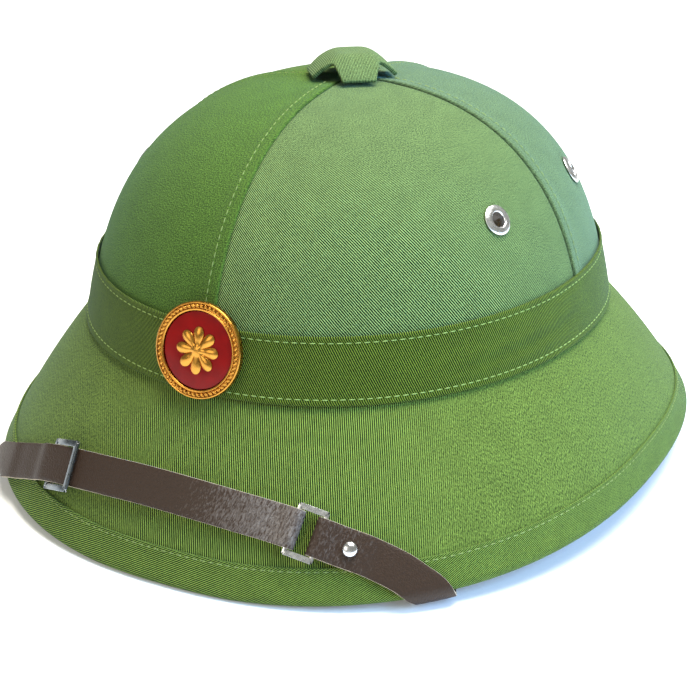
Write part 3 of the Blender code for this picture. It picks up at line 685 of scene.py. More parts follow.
def brushed_nap(tree, cloth, clear, worn):
    """Lets the wales fade between two distances from a spot of the flat cloth."""
    away = add_node(tree, "ShaderNodeVectorMath", {0: cloth, 1: (*worn["spot"], 0.0)}, operation="DISTANCE")
    wander = add_node(tree, "ShaderNodeTexNoise", {"Vector": cloth, "Scale": 1 / 0.02, "Detail": 2.0})
    place = add_node(
        tree, "ShaderNodeMath", {0: wander.outputs["Fac"], 1: 0.02, 2: away.outputs["Value"]},
        operation="MULTIPLY_ADD",
    )
    faded = add_node(
        tree, "ShaderNodeMapRange",
        {"Value": place.outputs[0], "From Min": worn["start"], "From Max": worn["end"],
         "To Min": clear, "To Max": clear * worn["least"]},
        interpolation_type="SMOOTHSTEP",
    )
    return faded.outputs["Result"]


def spun_thread(name, colour):
    """Sewing thread: two plies twisted together, dull, with light catching each turn."""
    made, tree, shader = new_material(name, roughness=0.8, specular_ior_level=0.2)
    place = add_node(tree, "ShaderNodeTexCoord").outputs["Object"]
    plies = add_node(
        tree, "ShaderNodeTexNoise", {"Vector": place, "Scale": 1 / 0.0004, "Detail": 2.0}
    )
    dye_with_painted_light = add_node(
        tree, "ShaderNodeMix",
        {"Factor": plies.outputs["Fac"], "A": linear(colour[0]), "B": linear(colour[1])},
        data_type="RGBA",
    )
    tree.links.new(dye_with_painted_light.outputs["Result"], shader.inputs["Base Color"])
    relief = add_node(
        tree, "ShaderNodeBump", {"Height": plies.outputs["Fac"], "Strength": 0.5, "Distance": 0.0001}
    )
    tree.links.new(relief.outputs["Normal"], shader.inputs["Normal"])
    return made


def pressed_fibre(name):
    """Pressed plant pulp, varnished thin: a mottled tan board with short fibres in it."""
    made, tree, shader = new_material(name, roughness=0.75)
    place = add_node(tree, "ShaderNodeTexCoord").outputs["Object"]
    mottle = add_node(
        tree, "ShaderNodeTexNoise", {"Vector": place, "Scale": 1 / 0.006, "Detail": 6.0, "Roughness": 0.65}
    )
    fibres = add_node(
        tree, "ShaderNodeTexVoronoi", {"Vector": place, "Scale": 1 / 0.0016}, feature="F1"
    )
    tone = add_node(
        tree, "ShaderNodeMix",
        {"Factor": mottle.outputs["Fac"], "A": linear("#7A6440"), "B": linear("#B79F73")},
        data_type="RGBA",
    )
    tree.links.new(tone.outputs["Result"], shader.inputs["Base Color"])
    relief = add_node(
        tree, "ShaderNodeBump", {"Height": fibres.outputs["Distance"], "Strength": 0.35, "Distance": 0.0003}
    )
    tree.links.new(relief.outputs["Normal"], shader.inputs["Normal"])
    return made


def strap_leather(name, settings, ring_spot, wear):
    """Finished cowhide: dark brown, with a fine grain and a soft polish, and creases across
    it where it was bent at the ring, their tops painted a pale grey near the ring as a painted highlight."""
    made, tree, shader = new_material(name, specular_ior_level=0.32)
    strip = add_node(tree, "ShaderNodeUVMap", uv_map="flat_cloth").outputs["UV"]
    place = add_node(tree, "ShaderNodeTexCoord").outputs["Object"]
    grain = add_node(
        tree, "ShaderNodeTexVoronoi", {"Vector": strip, "Scale": 1 / settings.grain, "Randomness": 0.9},
        feature="F1",
    )
    pores = add_node(
        tree, "ShaderNodeTexNoise", {"Vector": strip, "Scale": 1 / 0.0009, "Detail": 4.0, "Roughness": 0.6}
    )
    # creases run across the strap, closer together near the ring
    pulled = add_node(
        tree, "ShaderNodeMapping",
        {"Vector": strip, "Rotation": (0, 0, math.radians(38)), "Scale": (0.35, 1.0, 1.0)},
    )
    creases = add_node(
        tree, "ShaderNodeTexNoise",
        {"Vector": pulled.outputs["Vector"], "Scale": 1 / 0.0007, "Detail": 2.0, "Distortion": 0.8},
    )
    near = add_node(
        tree, "ShaderNodeVectorMath", {0: place, 1: ring_spot}, operation="DISTANCE"
    )
    # how strongly the creases show, most by the ring, times the given share; it also sets how much painted
    # highlight their tops get
    worn = add_node(
        tree, "ShaderNodeMapRange",
        {"Value": near.outputs["Value"], "From Min": 0.015, "From Max": 0.080,
         "To Min": wear, "To Max": wear * 0.1},
    )
    crease = add_node(
        tree, "ShaderNodeMath", {0: creases.outputs["Fac"], 1: worn.outputs["Result"]}, operation="MULTIPLY"
    )
    height = add_node(
        tree, "ShaderNodeMath", {0: crease.outputs[0], 1: 1.3, 2: grain.outputs["Distance"]},
        operation="MULTIPLY_ADD",
    )
    tone = add_node(
        tree, "ShaderNodeMix",
        {"Factor": pores.outputs["Fac"], "A": linear(settings.leather_dark), "B": linear(settings.leather)},
        data_type="RGBA",
    )
    # painted highlight: the tops of the creases near the ring are mixed toward a pale grey that stands for
    # the gloss of the light on them
    painted_highlight = add_node(
        tree, "ShaderNodeMapRange",
        {"Value": crease.outputs[0], "From Min": 0.30, "From Max": 0.75, "To Max": 0.75},
    )
    painted_highlight_tone = add_node(
        tree, "ShaderNodeMix",
        {"Factor": painted_highlight.outputs["Result"], "A": tone.outputs["Result"], "B": linear(settings.painted_highlight)},
        data_type="RGBA",
    )
    tree.links.new(painted_highlight_tone.outputs["Result"], shader.inputs["Base Color"])
    polish = add_node(
        tree, "ShaderNodeMapRange", {"Value": pores.outputs["Fac"], "To Min": 0.40, "To Max": 0.58}
    )
    tree.links.new(polish.outputs["Result"], shader.inputs["Roughness"])
    relief = add_node(
        tree, "ShaderNodeBump", {"Height": height.outputs[0], "Strength": 0.6, "Distance": 0.00025}
    )
    tree.links.new(relief.outputs["Normal"], shader.inputs["Normal"])
    return made


def cut_leather(name, settings):
    """The raw cut edge of the hide: pale, fibrous and dry."""
    made, tree, shader = new_material(name, roughness=0.95, sheen_weight=0.3)
    place = add_node(tree, "ShaderNodeTexCoord").outputs["Object"]
    fibres = add_node(
        tree, "ShaderNodeTexNoise", {"Vector": place, "Scale": 1 / 0.0007, "Detail": 4.0, "Roughness": 0.7}
    )
    tone = add_node(
        tree, "ShaderNodeMix",
        {"Factor": fibres.outputs["Fac"], "A": linear(settings.cut_dark), "B": linear(settings.cut_light)},
        data_type="RGBA",
    )
    tree.links.new(tone.outputs["Result"], shader.inputs["Base Color"])
    relief = add_node(
        tree, "ShaderNodeBump", {"Height": fibres.outputs["Fac"], "Strength": 0.8, "Distance": 0.0003}
    )
    tree.links.new(relief.outputs["Normal"], shader.inputs["Normal"])
    return made


def plated_metal(name, light, dark, shine, scratch):
    """Plated sheet metal: bright, with hairline scratches and small dull patches from wear."""
    made, tree, shader = new_material(name, metallic=1.0)
    place = add_node(tree, "ShaderNodeTexCoord").outputs["Object"]
    smears = add_node(
        tree, "ShaderNodeTexNoise", {"Vector": place, "Scale": 1 / 0.003, "Detail": 5.0, "Roughness": 0.6}
    )
    lines = add_node(
        tree, "ShaderNodeMapping", {"Vector": place, "Rotation": (0.3, 0.5, 0.7), "Scale": (1.0, 14.0, 14.0)}
    )
    scratches = add_node(
        tree, "ShaderNodeTexNoise", {"Vector": lines.outputs["Vector"], "Scale": 1 / 0.004, "Detail": 3.0}
    )
    tone = add_node(
        tree, "ShaderNodeMix",
        {"Factor": smears.outputs["Fac"], "A": linear(dark), "B": linear(light)}, data_type="RGBA",
    )
    tree.links.new(tone.outputs["Result"], shader.inputs["Base Color"])
    dull = add_node(
        tree, "ShaderNodeMapRange",
        {"Value": smears.outputs["Fac"], "From Min": 0.3, "From Max": 0.7,
         "To Min": shine, "To Max": shine + 0.14},
    )
    tree.links.new(dull.outputs["Result"], shader.inputs["Roughness"])
    relief = add_node(
        tree, "ShaderNodeBump", {"Height": scratches.outputs["Fac"], "Strength": scratch, "Distance": 0.00004}
    )
    tree.links.new(relief.outputs["Normal"], shader.inputs["Normal"])
    return made


def fired_enamel(name, settings):
    """Fired glass enamel: deep red, glossy, a little uneven where it pooled."""
    made, tree, shader = new_material(
        name, roughness=0.3, coat_weight=0.15, coat_roughness=0.03, specular_ior_level=0.12
    )
    place = add_node(tree, "ShaderNodeTexCoord").outputs["Object"]
    pool = add_node(tree, "ShaderNodeTexNoise", {"Vector": place, "Scale": 1 / 0.006, "Detail": 3.0})
    tone = add_node(
        tree, "ShaderNodeMix",
        {"Factor": pool.outputs["Fac"], "A": linear(settings.enamel_dark), "B": linear(settings.enamel)},
        data_type="RGBA",
    )
    tree.links.new(tone.outputs["Result"], shader.inputs["Base Color"])
    relief = add_node(
        tree, "ShaderNodeBump", {"Height": pool.outputs["Fac"], "Strength": 0.25, "Distance": 0.0002}
    )
    tree.links.new(relief.outputs["Normal"], shader.inputs["Normal"])
    return made


def studio_paper(name, colour):
    """Matt paper over a light table, with the faintest tooth."""
    made, tree, shader = new_material(
        name, roughness=0.9, specular_ior_level=0.2, emission_strength=0.15
    )
    place = add_node(tree, "ShaderNodeTexCoord").outputs["Object"]
    tooth = add_node(tree, "ShaderNodeTexNoise", {"Vector": place, "Scale": 1 / 0.002, "Detail": 2.0})
    tone = add_node(
        tree, "ShaderNodeMix",
        {"Factor": tooth.outputs["Fac"], "A": linear(colour), "B": linear("#E8E8E6")}, data_type="RGBA",
    )
    tree.links.new(tone.outputs["Result"], shader.inputs["Base Color"])
    return made


# cloth pieces

# places across a crown panel, in from its seam
SEAM_ZONE = 0.0090
SEAM_STEPS = (
    0.0, 0.00012, 0.00035, 0.0007, 0.0012, 0.0020, 0.0029, 0.0035, 0.0040, 0.0045, 0.0052, 0.0068,
)
PANEL_COLUMNS = 40
PANEL_ROWS = 64

# how far the upper panels reach past a seam, and the trough by it in the lower ones
SEAM_OVERLAP = 0.0009
SEAM_TROUGH = 0.0003
TROUGH_INSET = 0.0003

# folded edges and stitches
SEAM_FOLD_RADIUS = 0.0007
FOLD_RADIUS = 0.0006
STITCH_DIP = 0.0006
HEM_FOLD_END = 0.0045

# places across the hem strip, the brim's cloth and the hat band
HEM_LIP_STEPS = (0.0, 0.0004, 0.0009, 0.0014, 0.0019, 0.0024, 0.0032, 0.0050, 0.0080)
HEM_TURN_STEPS = 12
BRIM_ROWS = 34
BAND_EDGE_STEPS = (0.0, 0.00012, 0.0003, 0.0006, 0.0010, 0.0015, 0.0020, 0.0025, 0.0031, 0.0038)
BAND_BETWEEN = 14

# puckers along the band's upper edge
PUCKER_HEIGHT = 0.00010
PUCKER_PITCH = 0.0345
PUCKER_INSET = 0.001
PUCKER_SPREAD = 0.0016

# the panels' and the band's feet start this share of the band's height above the brim
FOOT_LEVEL = 0.02
# how far the brim's cloth runs on under the band and under the hem's lip
TUCK = 0.0010


def folded_edge(distance, radius):
    """How full a folded edge is at a distance in from it, 0 to 1: a quarter of a circle."""
    return math.sqrt(max(0.0, 1 - (1 - min(distance / radius, 1.0)) ** 2))


def seam_relief(distance, sewing):
    """Height of a lapped seam's upper panel, at a distance in from its folded edge."""
    proud = sewing.seam_lap * (1 - ease(distance, sewing.seam_stitch, SEAM_ZONE))
    proud *= folded_edge(distance, SEAM_FOLD_RADIUS)
    return proud - sewing.stitch_sink * bell(distance - sewing.seam_stitch, STITCH_DIP)


def panel_columns(half, overlap):
    """Places across a panel, as distances from its middle, close together by its seams."""
    zone = min(SEAM_ZONE, half * 0.5)
    inner = [(half - zone) * (2 * i / PANEL_COLUMNS - 1) for i in range(PANEL_COLUMNS + 1)]
    scale = zone / SEAM_ZONE
    edge = [half + (overlap - s) * scale for s in SEAM_STEPS]
    return [-e for e in edge] + inner + edge[::-1], scale


def panel_points(quarter, sewing):
    """The left front and right back panels are folded over the edges of the other two."""
    overlap = SEAM_OVERLAP * (quarter % 2)
    middle = quarter * math.pi / 2 + math.pi / 4
    points = []
    for i in range(PANEL_ROWS + 1):
        level = FOOT_LEVEL + (2 - FOOT_LEVEL) * i / PANEL_ROWS
        z = crown_level(middle, level, PANEL_TOP_RADIUS)
        radius = (crown_surface(middle, z) - Vector((0, CROWN_Y, z))).length
        half = radius * math.pi / 4 - SEAM_GAP / 2
        places, scale = panel_columns(half, overlap)
        row = []
        for place in places:
            angle = middle + place / radius
            distance = (half - abs(place)) / scale + overlap
            if overlap:
                out = seam_relief(distance, sewing)
            else:
                out = -SEAM_TROUGH * bell(distance - TROUGH_INSET, STITCH_DIP)
            row.append(crown_point(angle, crown_level(angle, level, PANEL_TOP_RADIUS), out * scale))
        points.append(row)
    return points


BRIM_FOLDS = (
    # angle in degrees, its spread, run below the band, width, rise
    (21.0, 9.0, 0.0105, 0.0016, 0.00045),
    (26.0, 8.0, 0.0145, 0.0020, -0.00040),
    (12.0, 5.0, 0.0080, 0.0014, 0.00030),
    (-24.0, 7.0, 0.0120, 0.0022, 0.00030),
    (74.0, 9.0, 0.0130, 0.0025, 0.00035),
    (150.0, 12.0, 0.0120, 0.0022, 0.00030),
    (-120.0, 12.0, 0.0120, 0.0022, 0.00030),
)


def brim_ripple(angle, run):
    """Soft folds that the brim's cloth has at the band, below and beside the badge."""
    degrees = math.degrees(angle)
    ripple = 0.0
    for fold_angle, reach, fold_run, width, rise in BRIM_FOLDS:
        ripple += rise * bell(degrees - fold_angle, reach) * bell(run - fold_run, width)
    return ripple


def brim_cover_points():
    angles = ring_angles()
    slopes = [Slope(a) for a in angles]
    points = []
    for i in range(BRIM_ROWS, -1, -1):
        row = []
        for angle, slope in zip(angles, slopes):
            end = slope.length - BINDING_LIP + TUCK
            run = (end + TUCK) * i / BRIM_ROWS - TUCK
            row.append(slope.point(run, brim_ripple(angle, run)))
        points.append(row)
    return points


def binding_points(sewing):
    """The hem strip from its inner lip underneath, round the rim and up to its folded lip on
    top, which puckers a little at each stitch."""
    angles = ring_angles()
    slopes = [Slope(a) for a in angles]
    points = []
    for back in HEM_LIP_STEPS:
        row = []
        for slope in slopes:
            sink = hem_relief(back, sewing)
            row.append(slope.point(slope.length - BINDING_LIP + back, -RIM_MID - RIM_RADIUS - sink))
        points.append(row)
    for i in range(HEM_TURN_STEPS + 1):
        turn = math.pi * (1 - i / HEM_TURN_STEPS)
        row = []
        for slope in slopes:
            radius = RIM_RADIUS
            low = math.pi - slope.fall
            if abs(turn - low) < REST_FACE / 2:
                radius *= math.cos(REST_FACE / 2) / math.cos(turn - low)
            row.append(slope.round_edge(turn, radius))
        points.append(row)
    for back in HEM_LIP_STEPS[::-1]:
        row = []
        for slope in slopes:
            out = BINDING_PROUD + hem_relief(back, sewing)
            row.append(slope.point(slope.length - BINDING_LIP + back, out))
        points.append(row)
    return points


def hem_relief(distance, sewing):
    """Height of the hem's lip at a distance from its folded edge."""
    fold = sewing.hem_fold * (1 - ease(distance, sewing.hem_stitch, HEM_FOLD_END))
    fold *= folded_edge(distance, FOLD_RADIUS)
    return fold - sewing.stitch_sink * bell(distance - sewing.hem_stitch, STITCH_DIP)


BAND_WRINKLES = (
    # from angle and level, to angle and level, width, rise
    (52.0, 0.50, 86.0, 0.62, 0.10, 0.00050),
    (56.0, 0.36, 84.0, 0.42, 0.07, -0.00035),
    (60.0, 0.74, 92.0, 0.80, 0.06, 0.00035),
    (48.0, 0.22, 78.0, 0.26, 0.06, 0.00030),
    (-92.0, 0.60, -62.0, 0.44, 0.10, 0.00045),
    (-84.0, 0.34, -56.0, 0.30, 0.07, -0.00030),
    (128.0, 0.45, 170.0, 0.60, 0.10, 0.00035),
    (-170.0, 0.50, -126.0, 0.40, 0.10, 0.00035),
)


def band_wrinkle(angle, level):
    """Pulls in the band where it is drawn tight round the sides."""
    degrees = math.degrees(angle)
    height = 0.0
    for start, low, end, high, width, rise in BAND_WRINKLES:
        share = (degrees - start) / (end - start)
        if -0.3 < share < 1.3:
            middle = low + (high - low) * share
            ends = ease(share, -0.3, 0.2) * (1 - ease(share, 0.8, 1.3))
            height += rise * ends * bell(level - middle, width)
    return height


def band_relief(up, down, sewing):
    """Height of the band at lengths from its lower and upper folded edges."""
    relief = 0.0
    for distance, stitch, fold in (
        (down, sewing.band_top_stitch, sewing.band_fold),
        (up, sewing.band_foot_stitch, sewing.band_fold * 0.6),
    ):
        bulge = fold * (1 - ease(distance, stitch * 0.7, stitch * 1.6))
        bulge -= BAND_WALL * 0.7 * (1 - folded_edge(distance, FOLD_RADIUS))
        relief += bulge - sewing.stitch_sink * bell(distance - stitch, STITCH_DIP)
    return relief


def band_levels(sewing):
    height = BAND_TOP_Z - CROWN_FOOT_Z
    low = FOOT_LEVEL * height
    lower = [low + e for e in BAND_EDGE_STEPS]
    upper = [height - e for e in BAND_EDGE_STEPS][::-1]
    room = upper[0] - lower[-1]
    between = [lower[-1] + room * i / BAND_BETWEEN for i in range(1, BAND_BETWEEN)]
    return [(at - low, height - at, at / height) for at in lower + between + upper]


def band_points(sewing):
    points = []
    for up, down, level in band_levels(sewing):
        row = []
        for angle in ring_angles():
            wave = math.sin(angle * 2 * math.pi / PUCKER_PITCH)
            pucker = PUCKER_HEIGHT * wave * bell(down - PUCKER_INSET, PUCKER_SPREAD)
            out = BAND_PROUD + band_relief(up, down, sewing) + band_wrinkle(angle, level) + pucker
            row.append(crown_point(angle, crown_level(angle, level, PANEL_TOP_RADIUS), out))
        points.append(row)
    return points


# vent cap


def vent_height(distance):
    """Height of the cap over the crown: a flat top that rolls down into the legs."""
    foot = VENT_WALL + GAP
    if distance <= VENT_FLAT:
        return VENT_HEIGHT
    share = (distance - VENT_FLAT) / (VENT_REACH - VENT_FLAT)
    return VENT_HEIGHT - (VENT_HEIGHT - foot) * share**VENT_ROLL


def vent_outline(turn):
    """Reach of the cap at an angle from a leg's middle, -45 to 45 degrees."""
    side = abs(math.tan(turn))
    half = VENT_LEG_WIDTH / 2
    if side * VENT_REACH <= half:
        return VENT_REACH / math.cos(turn)
    lean = (half - VENT_NOTCH) / (VENT_REACH - VENT_NOTCH)
    along = (VENT_NOTCH - lean * VENT_NOTCH) / (side - lean)
    return along / math.cos(turn)


def vent_cap_points():
    corner = math.atan2(VENT_LEG_WIDTH / 2, VENT_REACH)
    right = [corner * i / 6 for i in range(7)]
    right += [corner + (math.pi / 4 - corner) * i / 8 for i in range(1, 9)]
    turns = [-t for t in reversed(right[1:-1])] + right
    around = [(leg, turn) for leg in range(4) for turn in turns]
    around.append(around[0])
    points = []
    for i in range(VENT_ROWS, 0, -1):
        share = i / VENT_ROWS
        row = []
        for leg, turn in around:
            reach = share * vent_outline(turn)
            a = abs(reach * math.cos(turn)) ** VENT_BOXINESS
            b = abs(reach * math.sin(turn)) ** VENT_BOXINESS
            distance = (a + b) ** (1 / VENT_BOXINESS)
            angle = VENT_TURN + leg * math.pi / 2 + turn
            z = CROWN_TOP_Z + vent_height(distance)
            row.append(Vector((reach * math.sin(angle), CROWN_Y - reach * math.cos(angle), z)))
        points.append(row)
    return points


# chin strap


def brim_map(angle, run, out):
    """A point out from the brim's cloth: run < 0 is up the slope, then round the rim and on
    along the underside."""
    slope = Slope(angle)
    if run <= 0:
        return slope.point(slope.length + run, out)
    turn = run / RIM_PATH
    if turn <= math.pi:
        return slope.round_edge(turn, RIM_MID + out)
    past = run - math.pi * RIM_PATH
    return slope.round_edge(math.pi, RIM_MID + out) - slope.down * past


def smooth_curve(values, count):
    """A curve through chosen values, its slopes taken from their neighbours."""
    values = np.array(values)
    slopes = np.gradient(values)
    found = []
    for i in range(len(values) - 1):
        for k in range(count):
            t = k / count
            found.append(
                values[i] * (2 * t**3 - 3 * t**2 + 1) + slopes[i] * (t**3 - 2 * t**2 + t)
                + values[i + 1] * (3 * t**2 - 2 * t**3) + slopes[i + 1] * (t**3 - t**2)
            )
    return found + [values[-1]]


def column_offsets(width):
    """Places across a strap, from one edge to the other."""
    return [width * (j / (STRAP_COLUMNS - 1) - 0.5) for j in range(STRAP_COLUMNS)]


class Route:
    """The strap's centre line, by its length from the ring, positive toward +X."""

    def __init__(self):
        angles = smooth_curve([math.radians(p["angle"]) for p in STRAP_ROUTE], ROUTE_STEPS)
        shares = smooth_curve([p["slope"] for p in STRAP_ROUTE], ROUTE_STEPS)
        runs = [-(1 - s) * Slope(a).length for a, s in zip(angles, shares)]
        points = [brim_map(a, r, LOWER_LAYER) for a, r in zip(angles, runs)]
        lengths = [0.0]
        for p, q in zip(points, points[1:]):
            lengths.append(lengths[-1] + (q - p).length)
        at_ring = float(np.interp(math.radians(RING_ANGLE), angles, lengths))
        self.lengths = np.array(lengths) - at_ring
        self.angles = np.array(angles)
        self.runs = np.array(runs)

    def place(self, s):
        """Angle and run at a length. Past each end, at the rim, the strap soon turns to go
        straight under, and drifts on along the rim by no more than a small length."""
        for end, inner, side in ((0, 4, -1), (-1, -5, 1)):
            past = (s - self.lengths[end]) * side
            if past > 0:
                step = abs(self.lengths[end] - self.lengths[inner])
                drift = WRAP_DRIFT * (1 - math.exp(-past / WRAP_DRIFT))
                angle = self.angles[end] + drift * (self.angles[end] - self.angles[inner]) / step
                run = self.runs[end] + drift * (self.runs[end] - self.runs[inner]) / step + past - drift
                return float(angle), float(run)
        angle = np.interp(s, self.lengths, self.angles)
        run = np.interp(s, self.lengths, self.runs)
        return float(angle), float(run)

    def frame(self, s, out):
        """Point, direction, outward normal, and the steps of angle and run across the strap."""
        angle, run = self.place(s)
        point = brim_map(angle, run, out)
        d_angle = brim_map(angle + ANGLE_STEP, run, out) - brim_map(angle - ANGLE_STEP, run, out)
        d_angle /= 2 * ANGLE_STEP
        d_run = brim_map(angle, run + RUN_STEP, out) - brim_map(angle, run - RUN_STEP, out)
        d_run /= 2 * RUN_STEP
        ahead = self.place(s + LENGTH_STEP)
        behind = self.place(s - LENGTH_STEP)
        along = d_angle * (ahead[0] - behind[0]) + d_run * (ahead[1] - behind[1])
        along.normalize()
        normal = d_run.cross(d_angle).normalized()
        across = normal.cross(along)
        pair = np.array([list(d_angle), list(d_run)]).T
        steps = np.linalg.lstsq(pair, np.array(list(across)), rcond=None)[0]
        return point, along, normal, steps

    def row(self, s, out, width):
        _, _, _, steps = self.frame(s, out)
        angle, run = self.place(s)
        return [brim_map(angle + v * steps[0], run + v * steps[1], out) for v in column_offsets(width)]

    def matrix(self, s, out):
        """A frame on the strap: X along it, Y across it, Z away from the brim."""
        point, along, normal, _ = self.frame(s, out)
        return frame_at(point, along, normal.cross(along), normal)

    def leaning(self, far, near):
        """A frame half way between two places on the strap, with its X from far to near."""
        start, _, _, _ = self.frame(*far)
        end, _, _, _ = self.frame(*near)
        _, _, outward, _ = self.frame((far[0] + near[0]) / 2, near[1])
        along = (end - start).normalized()
        across = outward.cross(along).normalized()
        return frame_at((start + end) / 2, along, across, along.cross(across))

    def rim(self, side):
        return float(self.lengths[-1] if side > 0 else -self.lengths[0])


def folded_rows(route, side, width, under_end, single_from):
    """The strap's rows from its end under the fold, round the ring's bar and out to where
    its whole width lies under the brim. side is +1 toward +X and -1 toward -X."""
    bar = RING_LENGTH / 2 - RING_BAR / 2
    stations = [(s, LOWER_LAYER) for s in spaced(under_end, bar, STRAP_STEP)]
    for i in range(1, RING_TURN_STEPS):
        turn = math.pi * i / RING_TURN_STEPS
        stations.append((bar - RING_TURN * math.sin(turn), RING_Z - RING_TURN * math.cos(turn)))
    rim = route.rim(side)
    slope_end = rim - width
    top = RING_Z + RING_TURN
    for s in spaced(bar, slope_end, STRAP_STEP):
        out = top + (UPPER_LAYER - top) * ease(s, bar, bar + SETTLE)
        out += (LOWER_LAYER + GAP - UPPER_LAYER) * ease(s, single_from, single_from + SETTLE)
        out += (HEM_LAYER - LOWER_LAYER - GAP) * ease(s, slope_end - SETTLE, slope_end)
        stations.append((s, out))
    turned_under = slope_end + math.pi * RIM_PATH + 2 * width
    stations += [(s, HEM_LAYER) for s in spaced(slope_end, turned_under, WRAP_STEP)[1:]]
    rows = [route.row(side * s, out, width) for s, out in stations]
    if side < 0:
        rows = [row[::-1] for row in rows]
    return rows


def anchor_matrix(side):
    """A frame on the inside wall: X along the strap's end, Z toward the head."""
    angle = side * math.radians(ANCHOR_ANGLE)
    inward = -crown_normal(angle, ANCHOR_Z)
    depth = SHELL_INSIDE + ANCHOR_SEAT + STRAP_WALL / 2
    back = Vector((0, 0, 1)).cross(inward) * -side
    level = back.normalized()
    upward = level.cross(inward) if level.cross(inward).z > 0 else inward.cross(level)
    along = level * math.cos(ANCHOR_RISE) + upward * math.sin(ANCHOR_RISE)
    return frame_at(crown_point(angle, ANCHOR_Z, -depth), along, inward.cross(along), inward)


def bend(start, leave, end, arrive, t):
    """A curve between two points with a direction at each, at a share t."""
    pull = (end - start).length * HIDDEN_PULL
    return (
        start * (2 * t**3 - 3 * t**2 + 1) + end * (3 * t**2 - 2 * t**3)
        + leave * pull * (t**3 - 2 * t**2 + t) + arrive * pull * (t**3 - t**2)
    )


def hidden_rows(rows, side, width):
    """From the brim's underside past the crease inside the shell to a flat end on its wall."""
    place = anchor_matrix(side)
    start = (rows[-1][0] + rows[-1][-1]) / 2
    leave = (start - (rows[-2][0] + rows[-2][-1]) / 2).normalized()
    across = (rows[-1][-1] - rows[-1][0]).normalized()
    pad_along = place.col[0].to_3d()
    pad_across = place.col[1].to_3d()
    if pad_across.dot(across) < 0:
        pad_across = -pad_across
    pad = place.translation - pad_along * ANCHOR_PAD
    crease = foot_corner(side * math.radians(CREASE_ANGLE), SHELL_INSIDE + CREASE_CLEAR)
    rise = (pad - crease).normalized()
    found = []
    for i in range(1, BEND_STEPS + 1):
        t = i / BEND_STEPS
        turned_across = across.lerp(pad_across, ease(t, 0, 1)).normalized()
        found.append((bend(start, leave, crease, rise, t), turned_across))
    for i in range(1, RISE_STEPS + 1):
        found.append((crease.lerp(pad, i / RISE_STEPS), pad_across))
    for i in range(1, 2 * RISE_STEPS + 1):
        found.append((pad + pad_along * ANCHOR_PAD * i / RISE_STEPS, pad_across))
    return [[centre + cross * v for v in column_offsets(width)] for centre, cross in found]


# sizes and colours that a user would change


def length_setting(name, description, default, low, high):
    return bpy.props.FloatProperty(
        name=name, description=description, default=default, min=low, max=high,
        precision=5, subtype="DISTANCE",
    )


def colour_setting(name, description, default):
    words = f"{description}, as an sRGB hex value"
    return bpy.props.StringProperty(name=name, description=words, default=default)


class HelmetSewing(bpy.types.PropertyGroup):
    seam_lap: length_setting(
        "Seam lap", "How far a crown panel's folded edge stands over its neighbour", 0.0010, 0.0, 0.003
    )
    seam_stitch: length_setting(
        "Seam stitch inset", "From a crown seam to its row of stitches", 0.0040, 0.002, 0.006
    )
    hem_fold: length_setting("Hem fold", "How far the hem's folded lip stands up", 0.0006, 0.0, 0.002)
    hem_stitch: length_setting(
        "Hem stitch inset", "From the hem's folded lip to its row of stitches", 0.0017, 0.001, 0.004
    )
    band_fold: length_setting(
        "Band fold", "How far the hat band's folded edges stand up", 0.0004, 0.0, 0.002
    )
    band_top_stitch: length_setting(
        "Band top stitch inset", "From the band's upper edge to its stitches", 0.0024, 0.001, 0.006
    )
    band_foot_stitch: length_setting(
        "Band foot stitch inset", "From the band's lower edge to its stitches", 0.0026, 0.001, 0.006
    )
    stitch_sink: length_setting(
        "Stitch sink", "How deep the stitches pull the cloth in", 0.0003, 0.0, 0.001
    )
    stitch_pitch: length_setting("Stitch pitch", "From one stitch to the next", 0.0034, 0.002, 0.006)
    stitch_width: length_setting("Thread width", "Width of the sewing thread", 0.00055, 0.0003, 0.001)


class HelmetCloth(bpy.types.PropertyGroup):
    wale_pitch: length_setting(
        "Wale pitch", "From one diagonal wale of the twill to the next", 0.00086, 0.0005, 0.002
    )
    wale_depth: length_setting(
        "Wale depth", "Depth of the furrows between the wales", 0.00028, 0.0, 0.001
    )
    fuzz: length_setting("Fuzz", "Size of the tufts of loose fibre", 0.00055, 0.0001, 0.002)
    wale: colour_setting("Wale colour", "The lit top of a wale", "#94AA64")
    # painted shade: the near black that the furrows between the wales are painted
    furrow_shade: colour_setting("Furrow colour", "The furrow between wales", "#101D0A")
    # the sheen of the loose fibre, its colour painted cool blue for the daylight
    sheen_painted_daylight: colour_setting("Bloom colour", "The loose fibre on the cloth", "#98D8E0")
    thread: colour_setting("Thread colour", "The sewing thread", "#5E7639")


class HelmetTrim(bpy.types.PropertyGroup):
    leather: colour_setting("Leather", "The strap's finished face", "#38271B")
    leather_dark: colour_setting("Leather pores", "The strap's pores and creases", "#21160E")
    # painted highlight: the pale grey on the tops of the creases by the ring, standing for gloss
    painted_highlight: colour_setting("Rubbed leather", "The tops of its creases by the ring", "#827A72")
    cut_light: colour_setting("Cut edge", "The strap's raw edge", "#D2C4AA")
    cut_dark: colour_setting("Cut edge fibres", "Darker fibres of the raw edge", "#7E6C54")
    grain: length_setting("Grain", "Width of one cell of the leather's grain", 0.0007, 0.0003, 0.003)
    enamel: colour_setting("Enamel", "The badge's glass enamel", "#8A0806")
    enamel_dark: colour_setting("Enamel depth", "The enamel where it pooled", "#5A0304")


